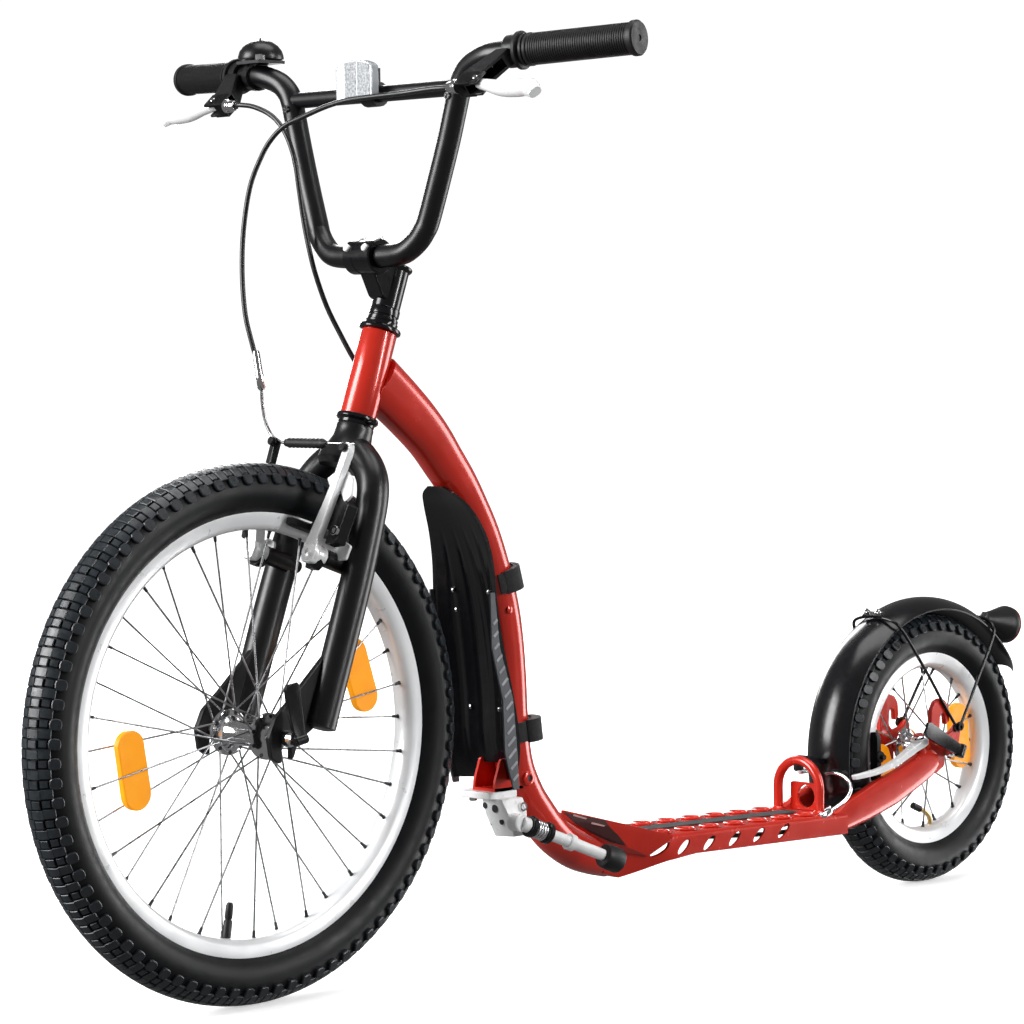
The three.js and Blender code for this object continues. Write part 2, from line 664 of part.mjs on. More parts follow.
add("deck_channel",
  cut(deckBody, box(deckHollowShares), ...deckHoles(), ...sideHoles(), mainTube(gap),
    cable(rearCableRoute, rearCable.steps, gap)), redPaint);

const strip = { halfWidth: 12, thickness: 1.2, front: 0.525, back: 0.764 };
function gripStrip() {
  const { halfWidth, thickness, front, back } = strip;
  const low = [front, back].map((y) => [y * reach, deckTop(y) * reach + gap]);
  const high = low.map(([y, z]) => [y, z + thickness]).reverse();
  return sidePlate([...low, ...high], -halfWidth, halfWidth);
}
add("deck_grip_strip", gripStrip(), greyStrip);

// Stays, with their dropout plates and the studs of the rear brake
const stayShares = [
  [0.8025, 0.0935, 0.014], [0.814, 0.097, 0.0155], [0.864, 0.1115, 0.0185],
  [0.903, 0.123, 0.017], [0.942, 0.1385, 0.0165], [0.958, 0.1435, 0.013],
];
const hookShares = [
  [0.95, 0.128], [0.953, 0.168], [0.955, 0.198], [0.961, 0.208], [0.97, 0.211], [0.979, 0.208],
  [0.985, 0.2], [0.986, 0.184], [0.979, 0.18], [0.978, 0.192], [0.974, 0.195], [0.97, 0.192],
  [0.969, 0.176], [0.976, 0.169], [0.99, 0.172], [1, 0.18], [1.006, 0.174], [1.003, 0.16],
  [0.994, 0.146], [0.985, 0.138], [0.972, 0.132], [0.962, 0.127],
];
const rearPivot = { y: 0.935, z: 0.165 };
const rearHead = { y: 0.8225, z: 0.137 };
const rearPivotPoint = (side) => at(side * staySpread, rearPivot.y, rearPivot.z);
const rearArmWay = at(0, rearHead.y - rearPivot.y, rearHead.z - rearPivot.z).normalize();
const rearPinWay = X.clone().cross(rearArmWay).multiplyScalar(-1);
const rearStud = { below: 16, above: 9 };
const rearSlotDrop = 20; // from the axle down to the open end of its slot

function stay(side) {
  const tube = ovalTube(stayShares, side * staySpread, stayHalfWidth, 0, 12);
  const inner = side > 0 ? rearWheel.hubHalfLength : -rearWheel.hubHalfLength - dropoutPlate;
  const outline = hookShares.map(([y, z]) => [y * reach, z * reach]);
  const plate = sidePlate(outline, inner, inner + dropoutPlate);
  const middle = rearAxle.clone().setX(inner + dropoutPlate / 2);
  const through = spot(dropoutPlate / 2 + overrun, 0, 0);
  const seat = rod(middle.clone().sub(through), middle.clone().add(through), slotWidth / 2);
  const mouth = block(middle.add(spot(0, 0, -rearSlotDrop / 2)),
    2 * through.x, slotWidth, rearSlotDrop);
  const pivot = rearPivotPoint(side);
  const stud = rod(pivot.clone().addScaledVector(rearPinWay, -rearStud.below),
    pivot.clone().addScaledVector(rearPinWay, rearStud.above), studRadius);
  return cut(joined(tube, plate, stud), seat, mouth);
}
add("left_stay", stay(1), redPaint);
add("right_stay", stay(-1), redPaint);

// Heel plate on the rear end of the deck, behind the heel hoop
const heelPlate = { front: 0.787, thickness: 3, halfWidth: 22, top: 0.131, hole: 12.5, eye: 0.116 };
function heelPlateShape() {
  const { thickness, halfWidth, hole } = heelPlate;
  const low = deckTop(heelPlate.front) * reach + gap;
  const height = heelPlate.top * reach - low;
  const front = at(0, heelPlate.front, heelPlate.eye);
  const centre = front.clone().setZ(low + height / 2).add(spot(0, thickness / 2, 0));
  const plate = block(centre, 2 * halfWidth, thickness, height);
  const bore = rod(front.clone().add(spot(0, -overrun, 0)),
    front.clone().add(spot(0, thickness + overrun, 0)), hole, medium);
  return cut(plate, bore);
}
add("heel_plate", heelPlateShape(), redPaint);

const hoopPlace = 0.7755;
function heelHoop() {
  const foot = deckTop(hoopPlace) * reach + gap;
  const y = hoopPlace * reach;
  const springing = foot + hoopHeight - hoopSpread;
  const points = [spot(hoopSpread, y, foot)];
  for (let i = 0; i <= thin; i++) {
    const turn = (Math.PI * i) / thin;
    points.push(spot(hoopSpread * Math.cos(turn), y, springing + hoopSpread * Math.sin(turn)));
  }
  points.push(spot(-hoopSpread, y, foot));
  return sweep(points, hoopRadius, coarse);
}
add("heel_hoop", heelHoop(), redPaint);

// Rear mudguard with its bracket, wires and tail light; angles are from the rear, upwards
const mudguard = { radius: 170, halfWidth: 30, crown: 12, from: 184, to: 29, steps: 18 };
const crownShare = 2.2;
const crownColumns = [-1, -0.72, -0.4, 0, 0.4, 0.72, 1];
const degree = Math.PI / 180;
const fromRearAxle = (x, radius, turn) =>
  rearAxle.clone().add(spot(x, radius * Math.cos(turn), radius * Math.sin(turn)));
function rearMudguard() {
  const { radius, halfWidth, crown, from, to, steps } = mudguard;
  const rows = (wall) => Array.from({ length: steps + 1 }, (_, i) => {
    const turn = (from + ((to - from) * i) / steps) * degree;
    return crownColumns.map((u) =>
      fromRearAxle(u * halfWidth, radius - crown * Math.abs(u) ** crownShare - wall, turn));
  });
  return sheet(rows(0), rows(guardWall));
}
add("rear_mudguard", rearMudguard(), blackPlastic);

const bracketShares = [[0.7812, 0.155], [0.7812, 0.162], [0.8118, 0.155], [0.8118, 0.149]];
const bracketHalfWidth = 7;
add("mudguard_bracket",
  sidePlate(bracketShares.map(([y, z]) => [y * reach, z * reach]),
    -bracketHalfWidth, bracketHalfWidth), blackPlastic);

const mudguardWireRadius = 1.8;
const frontWireShares = [
  [1, 0.996, 0.176], [1, 0.95, 0.235], [0.86, 0.915, 0.285], [0.74, 0.9065, 0.298],
  [0.43, 0.9035, 0.3035], [0, 0.902, 0.3055],
];
const rearWireShares = [
  [1, 1.002, 0.177], [0.95, 1.035, 0.225], [0.86, 1.068, 0.27], [0.74, 1.0755, 0.285],
  [0.43, 1.079, 0.2915], [0, 1.0818, 0.294],
];
function mudguardWire(shares) {
  const spread = outerFace(rearWheel) + gap + mudguardWireRadius;
  const half = shares.map(([x, y, z]) => at(x * spread, y, z));
  const other = half.slice(0, -1).map(flip).reverse();
  return sweep([...half, ...other], mudguardWireRadius, thin);
}
add("mudguard_front_wire", mudguardWire(frontWireShares), blackPaint);
add("mudguard_rear_wire", mudguardWire(rearWireShares), blackPaint);

const light = { backRadius: 8, radius: 21.5, lensRadius: 21, lens: 9, footRadius: 5, turn: 50 };
const lightBack = at(0, 1.098, 0.2893);
const lightFace = at(0, 1.1425, 0.279);
const lightWay = lightFace.clone().sub(lightBack).normalize();
const lightFoot = 0.4;
function tailLight() {
  const cone = rod(lightBack, lightFace, light.backRadius, medium, light.radius);
  const foot = fromRearAxle(0, mudguard.radius + lightFoot, light.turn * degree);
  const top = fromRearAxle(0, mudguard.radius + 2 * light.backRadius, light.turn * degree);
  return joined(cone, rod(foot, top, light.footRadius, coarse));
}
add("tail_light_body", tailLight(), blackPlastic);
const lensBack = lightFace.clone().addScaledVector(lightWay, gap);
const lensFront = lensBack.clone().addScaledVector(lightWay, light.lens);
add("tail_light_lens", rod(lensBack, lensFront, light.lensRadius, medium), redLens);

// Front guard on the main tube: [y of the back, z, half width, dip forward, depth of the flank]
const guardHalfWidth = 42;
const guardShares = [
  [0.2455, 0.478, 0.2, 0.001, 0.002], [0.2515, 0.47, 0.5, 0.002, 0.002],
  [0.2635, 0.455, 0.74, 0.003, 0.002], [0.277, 0.43, 0.9, 0.0045, 0.002],
  [0.2885, 0.4, 0.97, 0.0095, 0.002], [0.2998, 0.363, 1, 0.0188, 0.003],
  [0.308, 0.32, 1, 0.0235, 0.007], [0.3135, 0.266, 1, 0.0225, 0.014],
  [0.316, 0.22, 1, 0.022, 0.018], [0.3275, 0.182, 1, 0.024, 0.004],
];
const guardColumns = [-1, -0.75, -0.5, -0.25, 0, 0.25, 0.5, 0.75, 1];
const guardBend = 1.7;
const notch = { halfWidth: 17, top: 0.208 };
function frontGuard() {
  const rows = (wall) => guardShares.map(([y, z, width, dip, flank]) => {
    const edge = width * guardHalfWidth;
    const face = guardColumns.map((u) => {
      const out = Math.abs(u) === 1 ? Math.sign(u) * wall : 0;
      return at(u * edge, y - dip * Math.abs(u) ** guardBend, z).add(spot(out, -wall, 0));
    });
    const back = (side) => at(side * edge, y - dip + flank, z).add(spot(side * wall, 0, 0));
    return [back(-1), ...face, back(1)];
  });
  const low = spot(0, guardShares.at(-1)[0] * reach, 0);
  const opening = block(low, 2 * notch.halfWidth, 2 * guardHalfWidth, 2 * notch.top * reach);
  return cut(sheet(rows(guardWall), rows(0)), mainTube(gap), opening);
}
add("front_guard", frontGuard(), blackPlastic);

const strapWall = 2.5;
const upperStrapShares = [[0.3133, 0.39, plainDepth], [0.3187, 0.3705, plainDepth]];
const lowerStrapShares = [[0.3358, 0.2385, plainDepth], [0.3393, 0.2185, plainDepth]];
function strap(shares) {
  const band = ovalTube(shares, 0, tubeRadius, strapWall, 12);
  const middle = (shares[0][0] + shares[1][0]) / 2;
  const height = (shares[0][1] + shares[1][1]) / 2;
  const front = at(0, middle, height).add(spot(0, -tubeRadius - strapWall, 0));
  const size = 4 * tubeRadius;
  return cut(band, mainTube(gap), block(front, size, tubeRadius, size));
}
add("upper_strap", strap(upperStrapShares), blackRubber);
add("lower_strap", strap(lowerStrapShares), blackRubber);

// Kickstand: bracket, cast block, leg with its collars, spring and foot
const cheek = { outer: 16, wall: 3, floor: 0.171 };
const cheekShares = [
  [0.303, cheek.floor], [0.304, 0.181], [0.312, 0.203], [0.345, 0.203], [0.352, cheek.floor],
];
function kickstandBracket() {
  const outline = cheekShares.map(([y, z]) => [y * reach, z * reach]);
  const inner = cheek.outer - cheek.wall;
  const left = sidePlate(outline, inner, cheek.outer);
  const right = sidePlate(outline, -cheek.outer, -inner);
  const [front, back] = [cheekShares[0][0] * reach, cheekShares.at(-1)[0] * reach];
  const low = cheek.floor * reach;
  const floor = block(spot(0, (front + back) / 2, low + cheek.wall / 2),
    2 * cheek.outer, back - front, cheek.wall);
  return cut(joined(left, right, floor), mainTube(gap));
}
add("kickstand_bracket", kickstandBracket(), redPaint);

const pivot = { x: 35, y: 0.309, z: 0.1423 };
const legTurn = 22.6 * degree;
const legLength = 132;
const legRadius = 6;
const footLength = 22;
const footRadius = 13;
const legSplay = 0.115;
const knuckleRadius = 9;
const knuckleLength = 14;
const legShare = 0.9; // of the knuckle's length, where the leg leaves it
const collarRadius = 11;
const collar = { first: 9, length: 6, second: 31 };
const pivotPoint = at(pivot.x, pivot.y, pivot.z);
const legRoot = pivotPoint.clone().add(spot(knuckleLength * legShare, 0, 0));
const legWay = spot(legSplay, Math.cos(legTurn), -Math.sin(legTurn)).normalize();
const onLeg = (distance) => legRoot.clone().addScaledVector(legWay, distance);

const castPlate = { front: 0.295, back: 0.333, halfWidth: 15, thickness: 7 };
const castBody = { inner: 4, top: 0.1645, foot: 0.128 };
const castShares = [
  [0.3, castBody.top], [0.302, 0.148], [0.31, castBody.foot], [0.329, castBody.foot],
  [0.329, castBody.top],
];
function kickstandBlock() {
  const top = cheek.floor * reach - gap;
  const plateLength = (castPlate.back - castPlate.front) * reach;
  const plateMiddle = ((castPlate.back + castPlate.front) / 2) * reach;
  const plateCentre = spot(0, plateMiddle, top - castPlate.thickness / 2);
  const plate = block(plateCentre, 2 * castPlate.halfWidth, plateLength, castPlate.thickness);
  const outline = castShares.map(([y, z]) => [y * reach, z * reach]);
  return joined(plate, sidePlate(outline, castBody.inner, pivot.x));
}
add("kickstand_block", kickstandBlock(), aluminium);

function kickstandLeg() {
  const start = pivotPoint.clone().add(spot(gap, 0, 0));
  const end = pivotPoint.clone().add(spot(gap + knuckleLength, 0, 0));
  const collars = [collar.first, collar.second].map((distance) =>
    rod(onLeg(distance), onLeg(distance + collar.length), collarRadius, 12));
  const shaft = rod(legRoot, onLeg(legLength - footLength - gap), legRadius);
  return joined(rod(start, end, knuckleRadius, 12), shaft, ...collars);
}
add("kickstand_leg", kickstandLeg(), aluminium);
add("kickstand_foot",
  rod(onLeg(legLength - footLength), onLeg(legLength), footRadius, medium), blackRubber);

// The spring is one wire round the leg between the two collars.
const spring = { turns: 3, steps: 8, sides: 5, wireRadius: 1.2, radius: 8.6 };
function springRoute() {
  const { turns, steps, wireRadius, radius } = spring;
  const from = collar.first + collar.length + gap;
  const to = collar.second - gap;
  const straight = 2 * wireRadius;
  const side = X.clone().cross(legWay).normalize();
  const other = legWay.clone().cross(side);
  const place = (turn, distance) => onLeg(distance)
    .addScaledVector(side, radius * Math.cos(turn))
    .addScaledVector(other, radius * Math.sin(turn));
  const count = turns * steps;
  const points = [place(0, from)];
  for (let i = 0; i <= count; i++) {
    const distance = from + straight + ((to - from - 2 * straight) * i) / count;
    points.push(place((2 * Math.PI * i) / steps, distance));
  }
  points.push(place(0, to));
  return points;
}
function leastSpringGap(points) {
  let least = Infinity;
  for (let i = 0; i < points.length; i++)
    for (let j = i + spring.steps / 2; j < points.length; j++)
      least = Math.min(least, points[i].distanceTo(points[j]));
  return least - 2 * spring.wireRadius;
}
const springPoints = springRoute();
console.log("least gap between the spring's turns: " + leastSpringGap(springPoints).toFixed(2));
add("kickstand_spring", sweep(springPoints, spring.wireRadius, spring.sides), steel);

// Brake arms and pads. Front: drawn along the steering axis.
const arm = { boss: 9.5, bossLength: 13, width: 12, depth: 12, headWidth: 11, headHeight: 13 };
const armStand = 43.5; // from the steering axis forward to the arm's middle
const armTop = 0.5415 * reach;
const armHeadSpread = 49;
const pad = { inner: 15.5, thickness: 10, length: 54, height: 9, post: 3, postBite: 1 };
const cableStand = 50.3; // from the steering axis forward to the cable between the arms
const frontCableLine = spot(0, -cableStand, armTop);
const bossClearance = 0.5;

function armSlot(centre, depthWay, upWay) {
  const slot = new THREE.BoxGeometry(4 * arm.headWidth, cableSlot, 2 * arm.headHeight);
  slot.translate(0, 0, arm.headHeight - cableSlot / 2);
  const turn = new THREE.Matrix4().makeBasis(X, depthWay, upWay);
  return slot.applyMatrix4(turn).translate(centre.x, centre.y, centre.z);
}
function frontArm() {
  const half = arm.bossLength / 2;
  const stand = spot(studSpread, -armStand, studHeight);
  const [near, far] = [stand.clone().add(spot(0, half, 0)), stand.clone().add(spot(0, -half, 0))];
  const boss = rod(near, far, arm.boss, 12);
  const head = spot(armHeadSpread, frontCableLine.y, armTop);
  const foot = cornersOf(stand, arm.width, arm.depth, arm.width);
  const neck = cornersOf(head.clone().setZ(armTop - arm.headHeight / 2),
    arm.headWidth, arm.depth, arm.headHeight / 2);
  const headBlock = block(head, arm.headWidth, arm.depth + overrun, arm.headHeight);
  const bore = rod(stand.clone().add(spot(0, 2 * half, 0)),
    stand.clone().add(spot(0, -2 * half, 0)), studRadius + bossClearance, coarse);
  return cut(joined(boss, new ConvexGeometry([...foot, ...neck]), headBlock), bore,
    armSlot(head, Y, Z));
}
add("front_left_brake_arm", frontArm(), aluminium, steering);
add("front_right_brake_arm", mirrored(frontArm()), aluminium, steering);

const frontPadReach = 201.5; // from the front axle to the middle of the pad
const frontPadTurn = 71.5 * degree;
function brakePad(centre, turn, postEnd) {
  const shoe = new THREE.BoxGeometry(pad.thickness, pad.length, pad.height).rotateX(turn);
  shoe.translate(pad.inner + pad.thickness / 2, centre.y, centre.z);
  const post = rod(centre.clone().setX(pad.inner + pad.thickness / 2), centre.clone().setX(postEnd),
    pad.post, thin);
  return joined(shoe, post);
}
const frontPadCentre = frontAxle.clone().add(spot(0, frontPadReach * Math.cos(frontPadTurn),
  frontPadReach * Math.sin(frontPadTurn)));
const frontPostEnd = studSpread - arm.width / 2 + pad.postBite;
const frontPad = brakePad(frontPadCentre, frontPadTurn - Math.PI / 2, frontPostEnd);
add("front_left_brake_pad", frontPad, blackRubber);
add("front_right_brake_pad", mirrored(frontPad), blackRubber);

// Rear brake arms run forward beside the tyre.
const rearHeadSpread = 41;
function rearArm() {
  const half = arm.bossLength / 3;
  const stand = rearPivotPoint(1);
  const [low, high] = [-half, half].map((way) => stand.clone().addScaledVector(rearPinWay, way));
  const boss = rod(low, high, arm.boss, 12);
  const head = at(rearHeadSpread, rearHead.y, rearHead.z);
  const foot = cornersOf(stand, arm.width, arm.width, 2 * half);
  const neck = cornersOf(head.clone().addScaledVector(rearArmWay, -arm.headHeight / 2),
    arm.headWidth, arm.headHeight / 2, 2 * half);
  const headBlock = block(head, arm.headWidth, arm.headHeight, arm.headHeight);
  const bore = rod(stand.clone().addScaledVector(rearPinWay, -3 * half),
    stand.clone().addScaledVector(rearPinWay, 3 * half), studRadius + bossClearance, coarse);
  return cut(joined(boss, new ConvexGeometry([...foot, ...neck]), headBlock), bore,
    armSlot(head, Z, Y.clone().multiplyScalar(-1)));
}
add("rear_left_brake_arm", rearArm(), aluminium);
add("rear_right_brake_arm", mirrored(rearArm()), aluminium);
const rearPadReach = 100.8; // from the rear axle to the middle of the pad
const rearPadCentre = rearAxle.clone().add(spot(0, -rearPadReach, 0));
const rearPad = brakePad(rearPadCentre, Math.PI / 2, staySpread - arm.width / 2 + pad.postBite);
add("rear_left_brake_pad", rearPad, blackRubber);
add("rear_right_brake_pad", mirrored(rearPad), blackRubber);

// Brake levers, drawn in a frame at the lever's pin: +Y runs to the bar, +Z along the pin
const leverPin = { x: 190, y: 0.131, z: 0.857, turn: 41.8 * degree, radius: 2.5 };
const leverBody = { inner: 22, outer: 7, halfDepth: 9, halfHeight: 8 };
const leverRing = { radius: 15.5, halfLength: 6, x: 196 };
const leverAdjuster = { radius: 7, length: 14, y: -5, z: 2 };
const leverSlot = { halfHeight: 4.9, back: 8.5 };
const leverRoot = { halfLength: 4.5, halfDepth: 6, halfHeight: 4.5 };
const bladeLength = 78;
const leverShares = [
  [0, 0, 0], [0.19, -0.04, -0.013], [0.45, -0.09, -0.04], [0.7, -0.05, -0.04],
  [0.86, 0.006, -0.033], [1, -0.1, -0.085],
];
const leverBladeRadius = 4.4;
const leverFrame = new THREE.Matrix4().makeRotationX(leverPin.turn)
  .setPosition(at(leverPin.x, leverPin.y, leverPin.z));
const barAt = (x) => {
  const share = (x - barShares.at(-2)[0] * barHalfWidth) /
    ((gripStartShare[0] - barShares.at(-2)[0]) * barHalfWidth);
  return barPoint(barShares.at(-2)).lerp(gripStart, share);
};
function leverBracket() {
  const { inner, outer, halfDepth, halfHeight } = leverBody;
  const body = block(spot((outer - inner) / 2, 0, 0), outer + inner, 2 * halfDepth, 2 * halfHeight);
  const ringCentre = barAt(leverRing.x);
  const ringHere = ringCentre.clone().applyMatrix4(leverFrame.clone().invert());
  const web = new ConvexGeometry([
    ...cornersOf(spot(-inner / 2, 0, 0), inner, 2 * halfDepth, 2 * halfHeight),
    ...cornersOf(ringHere.add(spot(0, -leverRing.radius + overrun, 0)),
      2 * leverRing.halfLength, overrun, 2 * halfHeight),
  ]);
  const { radius, length, y, z } = leverAdjuster;
  const adjuster = rod(spot(-inner, y, z), spot(-inner - length, y, z), radius, thin);
  const depth = outer + leverSlot.back + overrun;
  const slot = block(spot(depth / 2 - leverSlot.back, 0, 0), depth, 4 * halfDepth,
    2 * leverSlot.halfHeight);
  const pin = rod(spot(0, 0, -halfHeight), spot(0, 0, halfHeight), leverPin.radius, thin);
  const whole = joined(cut(joined(body, web), slot), adjuster, pin).applyMatrix4(leverFrame);
  const side = gripWay.clone().multiplyScalar(leverRing.halfLength);
  const ring = rod(ringCentre.clone().sub(side), ringCentre.clone().add(side),
    leverRing.radius, medium);
  return cut(joined(whole, ring), barTube(gap));
}
function leverBlade() {
  const points = leverShares.map(([x, y, z]) => spot(x, y, z).multiplyScalar(bladeLength));
  const { halfLength, halfDepth, halfHeight } = leverRoot;
  const root = block(spot(0, 0, 0), 2 * halfLength, 2 * halfDepth, 2 * halfHeight);
  const bore = rod(spot(0, 0, -2 * halfHeight), spot(0, 0, 2 * halfHeight),
    leverPin.radius + bossClearance, coarse);
  const blade = sweep(points, leverBladeRadius, thin);
  return cut(joined(root, blade), bore).applyMatrix4(leverFrame);
}
add("left_brake_bracket", leverBracket(), blackPlastic);
add("right_brake_bracket", mirrored(leverBracket()), blackPlastic);
add("left_brake_lever", leverBlade(), aluminium);
add("right_brake_lever", mirrored(leverBlade()), aluminium);

// Bell, on the right
const bell = {
  x: 172, y: 0.176, foot: 0.903, radius: 23, height: 22, wall: 1.7, post: 3, drop: 0.8,
};
const bellClamp = { radius: 14.5, halfLength: 5 };
const bellPlate = { x: 160, y: 0.164, size: 34, thickness: 3, top: 0.9005 };
const domeShares = [[1, 0], [0.98, 0.27], [0.83, 0.64], [0.52, 0.89], [0, 1]];
const thumb = { x: 151, y: 0.157, radius: 4, height: 5, reachX: 6, reachY: -8, pad: 7, plate: 3 };
function bellDome() {
  const outer = domeShares.map(([r, h]) => [r * bell.radius, h * bell.height]);
  const scale = (bell.radius - bell.wall) / bell.radius;
  const inner = domeShares.map(([r, h]) => [
    r * bell.radius * scale,
    h * (bell.height - bell.wall),
  ]).reverse();
  const foot = at(-bell.x, bell.y, bell.foot);
  return turned([...outer, ...inner, outer[0]], foot, foot.clone().add(Z), medium);
}
function bellBase() {
  const side = gripWay.clone().multiplyScalar(bellClamp.halfLength);
  const centre = barAt(bell.x);
  const ring = rod(centre.clone().sub(side), centre.clone().add(side), bellClamp.radius, medium);
  const rise = bell.height - bell.wall - gap - bell.drop;
  const top = at(bell.x, bell.y, bell.foot).add(spot(0, 0, rise));
  const post = rod(centre.clone().setY(bell.y * reach), top, bell.post, thin);
  const { size, thickness } = bellPlate;
  const middle = at(bellPlate.x, bellPlate.y, bellPlate.top).add(spot(0, 0, -thickness / 2));
  const plate = block(middle, size, size, thickness);
  return mirrored(cut(joined(ring, post, plate), barTube(gap)));
}
function bellStriker() {
  const foot = at(thumb.x, thumb.y, bellPlate.top).add(spot(0, 0, gap));
  const top = foot.clone().add(spot(0, 0, thumb.height));
  const middle = foot.clone().add(spot(0, 0, thumb.height / 2));
  const tip = middle.clone().add(spot(-thumb.reachX, thumb.reachY, 0));
  const arm = new ConvexGeometry([
    ...cornersOf(middle, thumb.radius, thumb.radius, thumb.plate),
    ...cornersOf(tip, thumb.pad, thumb.plate, thumb.height),
  ]);
  return mirrored(joined(rod(foot, top, thumb.radius, thin), arm));
}
add("bell_base", bellBase(), blackPlastic);
add("bell_dome", bellDome(), blackPaint);
add("bell_striker", bellStriker(), steel);

// Front reflector with its bracket on the crossbar
const reflector = { halfWidth: 26, foot: 0.853, height: 38, depth: 10, back: 0.155 };
const reflectorShares = [
  [-1, 0], [1, 0], [1, 0.78], [0.8, 0.9], [0.4, 0.98], [0, 1], [-0.4, 0.98], [-0.8, 0.9],
  [-1, 0.78],
];
const reflectorClamp = { radius: 12, halfLength: 9, plateHeight: 30, halfWidth: 10 };
function frontReflector() {
  const points = reflectorShares.map(([x, z]) =>
    new THREE.Vector2(x * reflector.halfWidth, z * reflector.height));
  const options = { depth: reflector.depth, bevelEnabled: false };
  const lens = new THREE.ExtrudeGeometry(new THREE.Shape(points), options);
  lens.rotateX(Math.PI / 2);
  const place = at(0, reflector.back, reflector.foot);
  return lens.translate(0, place.y, place.z);
}
function reflectorBracket() {
  const centre = spot(0, crossbarEnd.y, crossbarEnd.z);
  const side = spot(reflectorClamp.halfLength, 0, 0);
  const ring = rod(centre.clone().sub(side), centre.clone().add(side), reflectorClamp.radius, medium);
  const front = reflector.back * reach + gap;
  const depth = centre.y - front;
  const plate = block(spot(0, front + depth / 2, centre.z + reflectorClamp.plateHeight / 3),
    2 * reflectorClamp.halfWidth, depth, reflectorClamp.plateHeight);
  const bar = rod(flip(crossbarEnd), crossbarEnd, crossbarRadius + gap, coarse);
  return cut(joined(ring, plate), bar);
}
add("front_reflector", frontReflector(), clearPlastic);
add("front_reflector_bracket", reflectorBracket(), blackPlastic);

export default bike;
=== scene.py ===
# A kick bike, dressed over its CAD frame.
# Lengths here are millimetres, measured as in the CAD source: x to the rider's left, y back from
# the front axle, z up from the floor. place() turns them into the row frame's metres.
import math

import bmesh
import bpy
from mathutils import Matrix, Vector


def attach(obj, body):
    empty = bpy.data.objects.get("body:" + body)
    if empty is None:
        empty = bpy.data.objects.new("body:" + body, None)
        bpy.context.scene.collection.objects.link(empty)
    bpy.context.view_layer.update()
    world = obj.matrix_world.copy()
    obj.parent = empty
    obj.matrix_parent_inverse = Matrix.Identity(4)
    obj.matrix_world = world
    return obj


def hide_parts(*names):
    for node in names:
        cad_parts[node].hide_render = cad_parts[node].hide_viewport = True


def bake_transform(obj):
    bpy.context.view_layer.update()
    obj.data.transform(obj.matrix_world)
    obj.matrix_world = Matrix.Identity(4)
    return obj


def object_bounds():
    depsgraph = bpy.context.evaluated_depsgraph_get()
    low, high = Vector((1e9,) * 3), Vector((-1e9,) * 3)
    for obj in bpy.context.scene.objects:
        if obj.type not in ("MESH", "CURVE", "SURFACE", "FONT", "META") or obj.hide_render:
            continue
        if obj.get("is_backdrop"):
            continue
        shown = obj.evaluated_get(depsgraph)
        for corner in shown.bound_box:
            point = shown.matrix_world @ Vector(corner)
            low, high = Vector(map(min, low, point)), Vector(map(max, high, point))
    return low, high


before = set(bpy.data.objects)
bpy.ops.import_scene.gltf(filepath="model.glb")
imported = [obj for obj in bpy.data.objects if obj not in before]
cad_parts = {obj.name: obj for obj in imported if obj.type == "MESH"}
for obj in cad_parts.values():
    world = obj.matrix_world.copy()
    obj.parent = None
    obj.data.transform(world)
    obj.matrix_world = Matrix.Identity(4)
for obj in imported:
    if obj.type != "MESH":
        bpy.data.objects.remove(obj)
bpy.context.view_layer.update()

MM = 0.001
MIDDLE = 450.0  # from the front axle back to the row frame's origin
TILT = math.radians(20)  # of the steering axis, back from upright
STEERING_FOOT = 55.9  # how far ahead of the front axle that axis meets the floor
TAU = 2 * math.pi
X, Y, Z = Vector((1, 0, 0)), Vector((0, 1, 0)), Vector((0, 0, 1))
FACING_SIDE = (Y, Z, X)  # axes of a plate seen from the side, and of one seen from behind
FACING_BACK = (X, Z, Y)


def place(p):
    return Vector((p[0] * MM, (p[1] - MIDDLE) * MM, p[2] * MM))


def steered(p):
    """A point drawn along the steering axis, (x, n, s), in the bike's own frame."""
    x, n, s = p
    return Vector((
        x,
        -STEERING_FOOT + n * math.cos(TILT) + s * math.sin(TILT),
        -n * math.sin(TILT) + s * math.cos(TILT),
    ))


ORIGIN = steered((0, 0, 0))
N_AXIS = steered((0, 1, 0)) - ORIGIN
S_AXIS = steered((0, 0, 1)) - ORIGIN
STEERED_FACE = (X, S_AXIS, N_AXIS)

# Camera, as the photograph was taken: degrees, and metres in the row frame
CAMERA_ANGLES = (46.162, 3.0215, -0.8155)
CAMERA_PLACE = (2.5777, -2.5775, 0.6365)
CAMERA_LENS = 125.37
scene = bpy.context.scene
camera = bpy.data.objects.new("camera", bpy.data.cameras.new("camera"))
scene.collection.objects.link(camera)
scene.camera = camera
azimuth, elevation, roll = (math.radians(a) for a in CAMERA_ANGLES)
back = Vector((
    math.sin(azimuth) * math.cos(elevation),
    -math.cos(azimuth) * math.cos(elevation),
    math.sin(elevation),
))
right = Z.cross(back).normalized()
up = back.cross(right)
right, up = (
    right * math.cos(roll) + up * math.sin(roll),
    up * math.cos(roll) - right * math.sin(roll),
)
turn = Matrix((right, up, back)).transposed().to_4x4()
camera.matrix_world = Matrix.Translation(CAMERA_PLACE) @ turn
camera.data.sensor_width = 36
camera.data.lens = CAMERA_LENS
camera.data.clip_end = 100


# Shapes: a shape is (points, faces), in millimetres
def joined(*shapes):
    points, faces = [], []
    for own_points, own_faces in shapes:
        base = len(points)
        points += own_points
        faces += [tuple(i + base for i in face) for face in own_faces]
    return points, faces


def moved(shape, change):
    return [change(p) for p in shape[0]], shape[1]


def mirrored(shape):
    return [Vector((-p[0], p[1], p[2])) for p in shape[0]], [f[::-1] for f in shape[1]]


def both(shape):
    return joined(shape, mirrored(shape))


SIDES = (("left", lambda shape: shape), ("right", mirrored))


